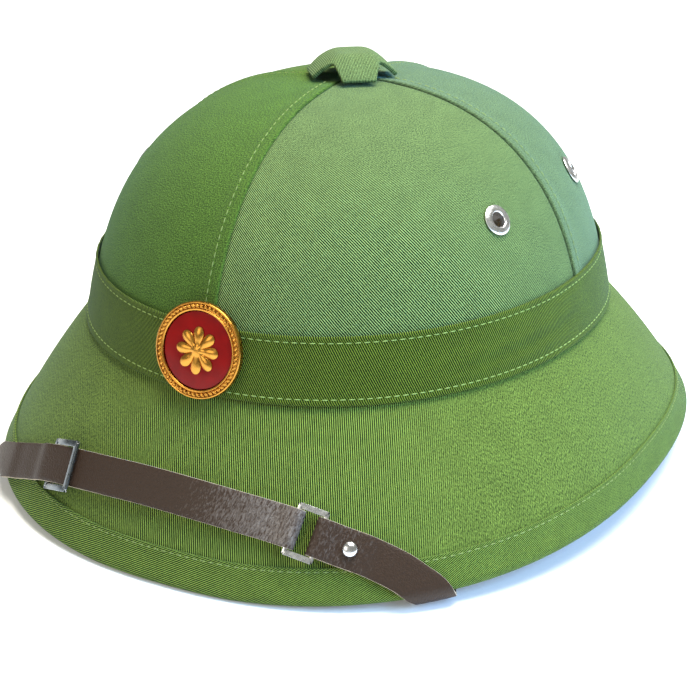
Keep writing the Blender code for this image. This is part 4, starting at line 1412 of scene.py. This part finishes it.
class HelmetStudio(bpy.types.PropertyGroup):
    azimuth: bpy.props.FloatProperty(
        name="Azimuth", description="Camera's direction round the helmet, from its front toward +X",
        default=math.radians(27.636), subtype="ANGLE",
    )
    elevation: bpy.props.FloatProperty(
        name="Elevation", description="Camera's angle above the floor",
        default=math.radians(22.479), subtype="ANGLE",
    )
    roll: bpy.props.FloatProperty(
        name="Roll", description="Camera's turn about its own axis",
        default=math.radians(0.320), subtype="ANGLE",
    )
    distance: bpy.props.FloatProperty(
        name="Distance", description="From the camera to the point that it looks at",
        default=0.7655, min=0.3, max=3.0, subtype="DISTANCE",
    )
    lens: bpy.props.FloatProperty(
        name="Lens", description="Focal length on a 36 mm sensor", default=88.776, min=20.0, max=200.0,
    )
    daylight: colour_setting("Daylight", "The cool soft light", "#8EC4FF")
    paper: colour_setting("Paper", "The studio floor", "#E0E0DE")


# pieces


class HELMET_OT_shell(bpy.types.Operator):
    """Press the helmet's hollow shell and drill it for the eyelets"""

    bl_idname = "helmet.shell"
    bl_label = "Pressed Shell"

    def execute(self, context):
        angles = ring_angles()
        slopes = [Slope(a) for a in angles]
        points = []
        for i in range(SHELL_BRIM_ROWS, 0, -1):
            points.append([s.point(s.length * i / SHELL_BRIM_ROWS, -SHELL_DEPTH) for s in slopes])
        points.append([foot_corner(a, SHELL_DEPTH) for a in angles])
        for i in range(1, SHELL_CROWN_ROWS + 1):
            level = 2 * i / SHELL_CROWN_ROWS
            z = [crown_level(a, level, SHELL_TOP_RADIUS) for a in angles]
            points.append([crown_point(a, h, -SHELL_DEPTH) for a, h in zip(angles, z)])
        shell = wrapped_grid("helmet_shell", points, closed=True)
        thicken(shell, SHELL_WALL)
        for place in EYELETS:
            drill(shell, EYELET_HOLE, eyelet_seat(place), SHELL_DRILL)
        finish_piece(shell, pressed_fibre("pressed_fibre"), "shell", "shell", smooth=30.0)
        return {"FINISHED"}


# each panel's cloth: how much nap hides its wales, a colour it is multiplied by as painted light and shade
# (the left panels darker and yellower as if in shade, the right ones bluer as if under the cool daylight),
# and the weight of its sheen of loose fibre, raised on the right panels to stand for that daylight
CROWN_NAP_AND_PAINTED_LIGHT = {
    "front_right": dict(
        worn=dict(spot=(-0.066, -0.046), start=0.125, end=0.170, least=0.1), painted_light_tint="#ECF6F2", loose=0.1
    ),
    "back_right": dict(nap=0.9, painted_light_tint="#E6EEFF", loose=0.2),
    "back_left": dict(nap=0.8, painted_light_tint="#CEE2AA"),
    "front_left": dict(nap=0.95, painted_light_tint="#C0E094"),
}


class HELMET_OT_crown(bpy.types.Operator):
    """Cut and lap the four crown panels"""

    bl_idname = "helmet.crown"
    bl_label = "Crown Panels"

    def execute(self, context):
        sewing = context.scene.helmet_sewing
        cloth = context.scene.helmet_cloth
        for quarter, place in enumerate(("front_right", "back_right", "back_left", "front_left")):
            points = panel_points(quarter, sewing)
            panel = wrapped_grid(f"panel_{place}", points)
            thicken(panel, CLOTH_WALL)
            drill(panel, EYELET_HOLE, eyelet_seat(place), CLOTH_DRILL)
            finish = CROWN_NAP_AND_PAINTED_LIGHT[place]
            twill = cotton_twill(f"cotton_twill_{place}", math.radians(38), cloth.wale_pitch, cloth, **finish)
            finish_piece(panel, twill, "cloth", f"crown_panel_{place}")
        return {"FINISHED"}


class HELMET_OT_brim(bpy.types.Operator):
    """Cover the brim and fold the hem strip round its edge"""

    bl_idname = "helmet.brim"
    bl_label = "Brim Cover And Hem"

    def execute(self, context):
        sewing = context.scene.helmet_sewing
        cloth = context.scene.helmet_cloth
        points = brim_cover_points()
        plan = np.array([[[p.x, p.y] for p in row] for row in points])
        cover = wrapped_grid("brim_cloth", points, closed=True, flat=plan)
        thicken(cover, CLOTH_WALL)
        front = dict(spot=(0.030, -0.140), start=0.045, end=0.100, least=0.15)
        # painted light: the brim's colour is made yellower for the warm top light on its upward face
        twill = cotton_twill(
            "cotton_twill_brim", math.radians(33), 0.00080, cloth, nap=0.1, painted_light_tint="#E8F0B4", worn=front
        )
        finish_piece(cover, twill, "cloth", "brim_cover")
        points = binding_points(sewing)
        hem = wrapped_grid("hem_strip", points, closed=True)
        thicken(hem, BINDING_WALL)
        # painted light and shade: the hem's colour is made darker and yellower, like the brim's
        twill = cotton_twill("cotton_twill_hem", math.radians(-58), 0.00076, cloth, nap=0.1, painted_light_tint="#DEEAAC")
        finish_piece(hem, twill, "cloth", "brim_binding")
        return {"FINISHED"}


class HELMET_OT_band(bpy.types.Operator):
    """Wrap the hat band round the foot of the crown"""

    bl_idname = "helmet.band"
    bl_label = "Hat Band"

    def execute(self, context):
        sewing = context.scene.helmet_sewing
        cloth = context.scene.helmet_cloth
        points = band_points(sewing)
        band = wrapped_grid("band_cloth", points, closed=True)
        thicken(band, BAND_WALL * 0.9)
        # painted shade: the band's colour is made darker and yellower, the upright band getting less of the
        # top light
        twill = cotton_twill(
            "cotton_twill_band", math.radians(32), 0.00078, cloth, nap=0.1, painted_light_tint="#B8C06C"
        )
        finish_piece(band, twill, "cloth", "hat_band")
        return {"FINISHED"}


class HELMET_OT_vent_cap(bpy.types.Operator):
    """Cover the four-legged vent cap and set it on the crown"""

    bl_idname = "helmet.vent_cap"
    bl_label = "Vent Cap"

    def execute(self, context):
        points = vent_cap_points()
        plan = np.array([[[p.x, p.y] for p in row] for row in points])
        cap = wrapped_grid("vent_cap_cloth", points, closed=True, flat=plan)
        make_active(cap)
        bpy.ops.object.mode_set(mode="EDIT")
        bpy.ops.mesh.select_all(action="DESELECT")
        bpy.ops.object.mode_set(mode="OBJECT")
        inner = {tuple(round(c, 7) for c in p) for p in points[-1]}
        for vertex in cap.data.vertices:
            vertex.select = tuple(round(c, 7) for c in vertex.co) in inner
        bpy.ops.object.mode_set(mode="EDIT")
        bpy.ops.mesh.select_mode(type="VERT")
        bpy.ops.mesh.edge_face_add()
        bpy.ops.object.mode_set(mode="OBJECT")
        thicken(cap, VENT_WALL)
        ease_edges(cap, 0.0006, 3, 50)
        cloth = context.scene.helmet_cloth
        # painted light: the cap's colour is made a little paler and bluer
        twill = cotton_twill("cotton_twill_cap", math.radians(40), 0.00062, cloth, nap=0.55, painted_light_tint="#F0F8FF")
        finish_piece(cap, twill, "cloth", "vent_cap", smooth=50.0)
        return {"FINISHED"}


class HELMET_OT_eyelets(bpy.types.Operator):
    """Roll the four vent eyelets"""

    bl_idname = "helmet.eyelets"
    bl_label = "Eyelets"

    def execute(self, context):
        stack = SHELL_INSIDE + EYELET_SLACK
        barrel = EYELET_BORE + EYELET_WALL
        crest = EYELET_BORE + EYELET_ROLL
        profile = rounded([
            (EYELET_BORE, -stack - EYELET_WALL),
            (EYELET_BORE, GAP + EYELET_ROLL * 0.5),
            (EYELET_BORE + EYELET_ROLL * 0.3, GAP + EYELET_ROLL),
            (crest, GAP + EYELET_ROLL * 1.05),
            (EYELET_RADIUS - EYELET_ROLL * 0.6, GAP + EYELET_ROLL * 0.8),
            (EYELET_RADIUS, GAP + EYELET_ROLL * 0.35),
            (EYELET_RADIUS, GAP),
            (barrel, GAP),
            (barrel, -stack),
            (EYELET_BACK_RADIUS, -stack),
            (EYELET_BACK_RADIUS, -stack - EYELET_WALL),
        ], 0.0005)
        nickel = plated_metal("nickel_plate_eyelet", "#F2F3F4", "#D6D8DA", 0.20, 0.15)
        for place in EYELETS:
            ring = turned(f"vent_eyelet_{place}", profile, eyelet_seat(place))
            finish_piece(ring, nickel, "nickel", f"eyelet_{place}")
        return {"FINISHED"}


class HELMET_OT_badge(bpy.types.Operator):
    """Strike the badge, with its roped rim, its enamel and a plain rosette"""

    bl_idname = "helmet.badge"
    bl_label = "Badge"

    def execute(self, context):
        trim = context.scene.helmet_trim
        wall = crown_surface(0.0, BADGE_Z)
        normal = Vector((0, -math.cos(BADGE_LEAN), math.sin(BADGE_LEAN)))
        back = Vector((BADGE_X, wall.y, BADGE_Z)) + normal * (BAND_PROUD + 2 * GAP)
        seat = upright_frame(back, normal)
        well = BADGE_RADIUS - BADGE_RIM
        body = rounded([
            (0, BADGE_FLOOR),
            (well, BADGE_FLOOR),
            (well, BADGE_DEPTH - 0.0003),
            (well + 0.0008, BADGE_DEPTH),
            (well + 0.0010, BADGE_DEPTH - 0.0007),
            (BADGE_RADIUS - 0.0010, BADGE_DEPTH - 0.0009),
            (BADGE_RADIUS - 0.0008, BADGE_DEPTH - 0.0002),
            (BADGE_RADIUS - 0.0001, BADGE_DEPTH - 0.0005),
            (BADGE_RADIUS, 0.0008),
            (BADGE_RADIUS - 0.0008, 0),
            (0, 0),
        ], 0.0003, steps=3)
        brass = plated_metal("gilt_brass", "#E0A64C", "#9E6824", 0.2, 0.3)
        dish = turned("badge_dish", body, seat, steps=BADGE_STEPS)
        finish_piece(dish, brass, "brass", "badge_body", smooth=50.0)
        low = BADGE_FLOOR + GAP
        top = low + ENAMEL_WALL
        pool = turned("badge_glass", rounded([
            (0, top + 0.0003),
            (well * 0.6, top + 0.00022),
            (well - GAP, top),
            (well - GAP, low),
            (0, low),
        ], 0.0002), seat, steps=BADGE_STEPS)
        finish_piece(pool, fired_enamel("fired_enamel", trim), "enamel", "badge_enamel", smooth=50.0)
        self.rope(brass, seat, well)
        self.rosette(brass, seat, top + GAP)
        return {"FINISHED"}

    def rope(self, brass, seat, well):
        """Slanted beads in the rim's channel, as on a struck rope border."""
        deselect_all()
        bpy.ops.mesh.primitive_uv_sphere_add(segments=10, ring_count=6, radius=1.0)
        bead = bpy.context.object
        middle = (well + BADGE_RADIUS) / 2
        places = []
        for i in range(ROPE_BEADS):
            turn = 2 * math.pi * i / ROPE_BEADS
            x = middle * math.cos(turn)
            y = middle * math.sin(turn)
            spot = Matrix.Translation((x, y, BADGE_DEPTH - ROPE_SUNK))
            slant = Matrix.Rotation(turn + ROPE_SLANT, 4, "Z")
            places.append(seat @ spot @ slant @ Matrix.Diagonal(ROPE_BEAD))
        rope = copies("badge_rope", bead, places)
        finish_piece(rope, brass, "brass", smooth=60.0)

    def rosette(self, brass, seat, low):
        """A flower of ridged petals in relief, with a small boss."""
        count = ROSETTE_PETALS * PETAL_STEPS
        points = []
        for share, ridge, valley in ROSETTE_RINGS:
            row = []
            for i in range(count + 1):
                turn = 2 * math.pi * i / count
                petal = abs(math.cos(turn * ROSETTE_PETALS / 2))
                reach = ROSETTE_RADIUS * (PETAL_WAIST + (1 - PETAL_WAIST) * petal**PETAL_ROUNDNESS) * share
                if share < BOSS:
                    reach = ROSETTE_RADIUS * share
                rise = (valley + (ridge - valley) * petal) * ROSETTE_WALL
                row.append(seat @ Vector((reach * math.cos(turn), reach * math.sin(turn), low + rise)))
            points.append(row)
        flower = wrapped_grid("badge_flower", points, closed=True)
        edit_all(flower, ("fill_holes", dict(sides=0)), ("normals_make_consistent", dict(inside=False)))
        finish_piece(flower, brass, "brass", "badge_rosette", smooth=50.0)


class HELMET_OT_straps(bpy.types.Operator):
    """Cut the two chin straps and lay them across the brim"""

    bl_idname = "helmet.straps"
    bl_label = "Chin Straps"

    def execute(self, context):
        trim = context.scene.helmet_trim
        route = Route()
        ring_spot = tuple(route.matrix(0.0, RING_Z).translation)
        edge = cut_leather("cut_cowhide", trim)
        # the last number of each strap scales its creases by the ring and the painted highlight on them
        straps = (
            ("long", -1, LONG_STRAP_WIDTH, (SLIDER_FAR + SLIDER_NEAR) / 2, SLIDER_FAR + SLIDER_BAR, 1.0),
            ("short", 1, SHORT_STRAP_WIDTH, FOLD_FROM_RING, FOLD_FROM_RING, 0.6),
        )
        for name, side, width, under_end, single_from, wear in straps:
            face = strap_leather(f"cowhide_{name}", trim, ring_spot, wear)
            rows = folded_rows(route, side, width, under_end, single_from)
            rows += hidden_rows(rows, side, width)
            strap = wrapped_grid(f"{name}_strap", rows)
            strap.data.materials.append(face)
            strap.data.materials.append(edge)
            thicken(strap, STRAP_WALL, offset=0.0, material_offset_rim=1)
            ease_edges(strap, 0.0003, 2, 60)
            indices = [f.material_index for f in strap.data.polygons]
            finish_piece(strap, [face, edge], "leather", f"strap_{name}", smooth=40.0)
            strap.data.polygons.foreach_set("material_index", indices)
        return {"FINISHED"}


# height of a rivet's head at its edge, as a share of its dome
RIVET_EDGE = 0.25

# the lighter and the duller tone of each frame's face, both darker than the plain plate on its eased edges:
# painted shade, far darker on the slider
FRAME_SHADED_TONES = {
    "ring": ("#EEF0F1", "#C4C7CA"),
    "slider": ("#7B848B", "#4A5258"),
}


class HELMET_OT_strap_metal(bpy.types.Operator):
    """Stamp the strap's slider and ring, and set its rivets"""

    bl_idname = "helmet.strap_metal"
    bl_label = "Slider, Ring And Rivets"

    def stamped_frame(self, name, length, width, bar, end, wall, bevel, place):
        """A flat frame: a plate, opened, given its wall and its edges eased. Its two bars lie
        across the strap and its two ends beside it."""
        deselect_all()
        bpy.ops.mesh.primitive_plane_add(size=1.0)
        piece = named(bpy.context.object, name)
        piece.data.materials.append(None)
        piece.data.materials.append(None)
        piece.data.transform(Matrix.Diagonal((length, width, 1, 1)))
        make_active(piece)
        bpy.ops.object.mode_set(mode="EDIT")
        bpy.ops.mesh.select_all(action="SELECT")
        bpy.ops.mesh.bevel(offset=bar * FRAME_CORNER, segments=FRAME_CORNER_STEPS, affect="VERTICES")
        bpy.ops.mesh.select_all(action="SELECT")
        bpy.ops.mesh.inset(thickness=bar)
        bpy.ops.transform.resize(value=(1.0, (width - 2 * end) / (width - 2 * bar), 1.0))
        bpy.ops.mesh.delete(type="FACE")
        bpy.ops.object.mode_set(mode="OBJECT")
        modify(piece, "SOLIDIFY", thickness=wall, offset=0.0)
        ease_edges(piece, bevel, 2, 40, material=1)
        edit_all(piece, ("normals_make_consistent", dict(inside=False)))
        piece.data.transform(place)
        return piece

    def rivet(self, name, head, dome, pin, low, place):
        """A domed head whose underside is at z = 0, with its pin down to low."""
        profile = []
        for i in range(RIVET_DOME_STEPS + 1):
            turn = math.pi / 2 * i / RIVET_DOME_STEPS
            height = dome * (RIVET_EDGE + (1 - RIVET_EDGE) * math.cos(turn))
            profile.append((head * math.sin(turn), height))
        profile += [(head, 0.0), (pin, 0.0), (pin, low), (0.0, low)]
        return turned(name, profile, place, steps=RIVET_STEPS)

    def execute(self, context):
        route = Route()
        inner = LONG_STRAP_WIDTH + 2 * FRAME_CLEAR
        nickel = plated_metal("nickel_plate", "#F2F3F4", "#C9CBCD", 0.14, 0.3)
        near_z = UPPER_LAYER + STRAP_WALL / 2 + GAP + SLIDER_WALL / 2 + SLIDER_LIFT
        far_z = SLIDER_WALL / 2 + 2 * GAP
        frames = {
            "ring": dict(
                length=RING_LENGTH, bar=RING_BAR, end=RING_END, wall=RING_WALL, bevel=0.00030,
                place=route.matrix(0.0, RING_Z),
            ),
            "slider": dict(
                length=SLIDER_LENGTH, bar=SLIDER_BAR, end=SLIDER_END, wall=SLIDER_WALL, bevel=0.00042,
                place=route.leaning((-SLIDER_FAR, far_z), (-SLIDER_NEAR, near_z)),
            ),
        }
        for name, sizes in frames.items():
            piece = self.stamped_frame(f"{name}_frame", width=inner + 2 * sizes["end"], **sizes)
            indices = [f.material_index for f in piece.data.polygons]
            # painted shade: the face takes a darker copy of the nickel, and its eased edges keep the plain
            # bright plate
            face = plated_metal(f"nickel_shaded_face_{name}", *FRAME_SHADED_TONES[name], 0.2, 0.12)
            finish_piece(piece, [face, nickel], "nickel", f"strap_{name}", smooth=30.0)
            piece.data.polygons.foreach_set("material_index", indices)
        seat = UPPER_LAYER + STRAP_WALL / 2 + GAP
        place = route.matrix(RIVET_FROM_RING, seat)
        head = self.rivet("fold_rivet", RIVET_RADIUS, RIVET_DOME, RIVET_PIN_RADIUS, GAP - seat, place)
        finish_piece(head, nickel, "nickel", "strap_rivet", smooth=50.0)
        steel = plated_metal("plain_steel", "#B4B6B8", "#7E8082", 0.32, 0.4)
        for name, side in (("right", 1), ("left", -1)):
            place = anchor_matrix(side) @ Matrix.Translation((0, 0, STRAP_WALL / 2 + GAP))
            low = -(STRAP_WALL + GAP + ANCHOR_SEAT)
            head = self.rivet(
                f"wall_rivet_{name}", ANCHOR_RIVET_RADIUS, RIVET_DOME / 2, RIVET_PIN_RADIUS, low, place
            )
            finish_piece(head, steel, "steel", f"anchor_rivet_{name}", smooth=50.0)
        for node in ("vent_post", "badge_post"):
            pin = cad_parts[node]
            pin.data.materials.clear()
            pin.data.materials.append(steel)
        return {"FINISHED"}


class HELMET_OT_stitches(bpy.types.Operator):
    """Sew the rows of stitches along the seams, the band and the hem"""

    bl_idname = "helmet.stitches"
    bl_label = "Stitches"

    def sew(self, name, path, normals, sewing, thread):
        """A row of stitches along a path of points with a normal at each."""
        path = np.array([list(p) for p in path])
        normals = np.array([list(n) for n in normals])
        steps = np.linalg.norm(np.diff(path, axis=0), axis=1)
        lengths = np.concatenate([[0.0], np.cumsum(steps)])
        count = int(lengths[-1] / sewing.stitch_pitch)
        half = lengths[-1] / count * STITCH_SHARE / 2
        places = []
        for i in range(count):
            at = lengths[-1] * (i + 0.5) / count
            spot = [np.interp(at, lengths, path[:, k]) for k in range(3)]
            ahead = [np.interp(at + half, lengths, path[:, k]) for k in range(3)]
            behind = [np.interp(at - half, lengths, path[:, k]) for k in range(3)]
            up = Vector([np.interp(at, lengths, normals[:, k]) for k in range(3)]).normalized()
            along = (Vector(ahead) - Vector(behind)).normalized()
            across = up.cross(along).normalized()
            place = frame_at(Vector(spot) + up * sewing.stitch_width * THREAD_SHOWS, along, across, up)
            size = (half, sewing.stitch_width / 2, sewing.stitch_width * THREAD_HEIGHT, 1)
            places.append(place @ Matrix.Diagonal(size))
        deselect_all()
        bpy.ops.mesh.primitive_uv_sphere_add(segments=6, ring_count=6, radius=1.0)
        pattern = bpy.context.object
        pattern.data.transform(Matrix.Rotation(math.pi / 2, 4, "Y"))
        row = copies(name, pattern, places)
        return finish_piece(row, thread, "cloth", smooth=80.0)

    def execute(self, context):
        sewing = context.scene.helmet_sewing
        cloth = context.scene.helmet_cloth
        thread = spun_thread("spun_thread", (cloth.thread, cloth.wale))
        # the seams' and the hem's thread is mixed from the lit wale colour and the furrows' painted shade: a
        # darker thread that stands for the shade along the folds beside it
        dark = spun_thread("spun_thread_dark", (cloth.wale, cloth.furrow_shade))
        for quarter, name in enumerate(("right", "back", "left", "front")):
            seam = (quarter + 1) * math.pi / 2
            side = 1 - 2 * (quarter % 2)
            path = []
            normals = []
            for i in range(SEAM_ROW_STEPS + 1):
                level = SEAM_ROW_START + SEAM_ROW_RISE * i / SEAM_ROW_STEPS
                z = crown_level(seam, level, PANEL_TOP_RADIUS)
                radius = (crown_surface(seam, z) - Vector((0, CROWN_Y, z))).length
                angle = seam + side * (sewing.seam_stitch + SEAM_GAP / 2) / radius
                out = seam_relief(sewing.seam_stitch, sewing)
                path.append(crown_point(angle, crown_level(angle, level, PANEL_TOP_RADIUS), out))
                normals.append(crown_normal(angle, z))
            self.sew(f"seam_stitches_{name}", path, normals, sewing, dark)
        angles = ring_angles()
        height = BAND_TOP_Z - CROWN_FOOT_Z
        for name, up, down in (
            ("top", height, sewing.band_top_stitch), ("foot", sewing.band_foot_stitch, height),
        ):
            level = 1 - down / height if name == "top" else (up + FOOT_LEVEL * height) / height
            out = BAND_PROUD + band_relief(up, down, sewing)
            z = [crown_level(a, level, PANEL_TOP_RADIUS) for a in angles]
            path = [crown_point(a, h, out + band_wrinkle(a, level)) for a, h in zip(angles, z)]
            normals = [crown_normal(a, h) for a, h in zip(angles, z)]
            self.sew(f"band_stitches_{name}", path, normals, sewing, thread)
        slopes = [Slope(a) for a in angles]
        sink = hem_relief(sewing.hem_stitch, sewing)
        runs = [s.length - BINDING_LIP + sewing.hem_stitch for s in slopes]
        path = [s.point(r, BINDING_PROUD + sink) for s, r in zip(slopes, runs)]
        self.sew("hem_stitches_top", path, [s.out for s in slopes], sewing, dark)
        path = [s.point(r, -RIM_MID - RIM_RADIUS - sink) for s, r in zip(slopes, runs)]
        self.sew("hem_stitches_under", path, [-s.out for s in slopes], sewing, dark)
        return {"FINISHED"}


# studio
AIR_COLOUR = "#F2F4EC"
AIR_STRENGTH = 0.36
CAMERA_AIM = (-0.0006, -0.0114, 0.0394)
SENSOR_WIDTH = 36.0
FLOOR_SIZE = 9.0
FLOOR_DROP = 0.0002
LAMP_AIM = (0, 0, 0.06)
# the two warm soft boxes: sizes in metres and power in watts
TOP_BOX = dict(place=(0.20, 0.15, 1.30), size=(1.0, 1.0), power=46.0, colour="#FFFBF4")
FRONT_BOX = dict(place=(-0.45, -1.25, 0.75), size=(0.9, 0.7), power=5.0, colour="#FFF6E8")
# the cool one beside the helmet, whose colour is one of the settings
WINDOW_BOX = dict(place=(1.05, -0.20, 0.60), size=(0.7, 0.7), power=24.0)


class HELMET_OT_stage(bpy.types.Operator):
    """Lay the paper, hang the soft lights and set up the camera"""

    bl_idname = "helmet.stage"
    bl_label = "Studio"

    def lamp(self, name, place, size, power, colour):
        """A soft box at a place, turned to the helmet."""
        light = bpy.data.lights.new(name, "AREA")
        light.shape = "RECTANGLE"
        light.size, light.size_y = size
        light.energy = power
        light.color = linear(colour)[:3]
        lamp = bpy.data.objects.new(name, light)
        lamp.location = place
        toward = Vector(LAMP_AIM) - Vector(place)
        lamp.rotation_euler = toward.to_track_quat("-Z", "Y").to_euler()
        bpy.context.scene.collection.objects.link(lamp)
        return lamp

    def execute(self, context):
        studio = context.scene.helmet_studio
        deselect_all()
        bpy.ops.mesh.primitive_plane_add(size=FLOOR_SIZE, location=(0, 0, 0))
        floor = named(bpy.context.object, "studio_floor")
        floor.data.transform(Matrix.Translation((0, 0, -FLOOR_DROP)))
        floor.data.materials.append(studio_paper("studio_paper", studio.paper))
        world = bpy.data.worlds.new("studio_air")
        world.use_nodes = True
        air = world.node_tree.nodes["Background"]
        air.inputs["Color"].default_value = linear(AIR_COLOUR)
        air.inputs["Strength"].default_value = AIR_STRENGTH
        context.scene.world = world
        context.scene.view_settings.view_transform = "Standard"
        self.lamp("top_box", **TOP_BOX)
        window = self.lamp("window_box", colour=studio.daylight, **WINDOW_BOX)
        # the cool light is for the cloth alone: mirrored in the metal it draws a blue line
        window.visible_glossy = False
        self.lamp("front_box", **FRONT_BOX)
        back = Vector((
            math.sin(studio.azimuth) * math.cos(studio.elevation),
            -math.cos(studio.azimuth) * math.cos(studio.elevation),
            math.sin(studio.elevation),
        ))
        right = Vector((math.cos(studio.azimuth), math.sin(studio.azimuth), 0))
        up = back.cross(right)
        right, up = (
            right * math.cos(studio.roll) + up * math.sin(studio.roll),
            up * math.cos(studio.roll) - right * math.sin(studio.roll),
        )
        lens = bpy.data.cameras.new("photo_camera")
        lens.sensor_width = SENSOR_WIDTH
        lens.lens = studio.lens
        camera = bpy.data.objects.new("photo_camera", lens)
        aim = Vector(CAMERA_AIM)
        turn = Matrix((right, up, back)).transposed().to_4x4()
        camera.matrix_world = Matrix.Translation(aim + back * studio.distance) @ turn
        context.scene.collection.objects.link(camera)
        context.scene.camera = camera
        return {"FINISHED"}


OPERATORS = (
    HELMET_OT_stage,
    HELMET_OT_shell,
    HELMET_OT_crown,
    HELMET_OT_brim,
    HELMET_OT_band,
    HELMET_OT_vent_cap,
    HELMET_OT_eyelets,
    HELMET_OT_badge,
    HELMET_OT_straps,
    HELMET_OT_strap_metal,
    HELMET_OT_stitches,
)


class HELMET_PT_panel(bpy.types.Panel):
    """The helmet's settings and its pieces"""

    bl_idname = "HELMET_PT_panel"
    bl_label = "Pith Helmet"
    bl_space_type = "VIEW_3D"
    bl_region_type = "UI"
    bl_category = "Pith Helmet"

    def draw(self, context):
        for name, group in GROUPS.items():
            box = self.layout.box()
            for prop in group.__annotations__:
                box.prop(getattr(context.scene, name), prop)
        for operator in OPERATORS:
            self.layout.operator(operator.bl_idname)


GROUPS = {
    "helmet_sewing": HelmetSewing,
    "helmet_cloth": HelmetCloth,
    "helmet_trim": HelmetTrim,
    "helmet_studio": HelmetStudio,
}


def register():
    for name, group in GROUPS.items():
        bpy.utils.register_class(group)
        setattr(bpy.types.Scene, name, bpy.props.PointerProperty(type=group))
    for operator in OPERATORS:
        bpy.utils.register_class(operator)
    bpy.utils.register_class(HELMET_PT_panel)


def unregister():
    bpy.utils.unregister_class(HELMET_PT_panel)
    for operator in reversed(OPERATORS):
        bpy.utils.unregister_class(operator)
    for name, group in GROUPS.items():
        delattr(bpy.types.Scene, name)
        bpy.utils.unregister_class(group)


def main():
    register()
    for operator in OPERATORS:
        group, action = operator.bl_idname.split(".")
        if getattr(getattr(bpy.ops, group), action)() != {"FINISHED"}:
            raise RuntimeError(f"{operator.bl_label} didn't finish")


if __name__ == "__main__":
    main()
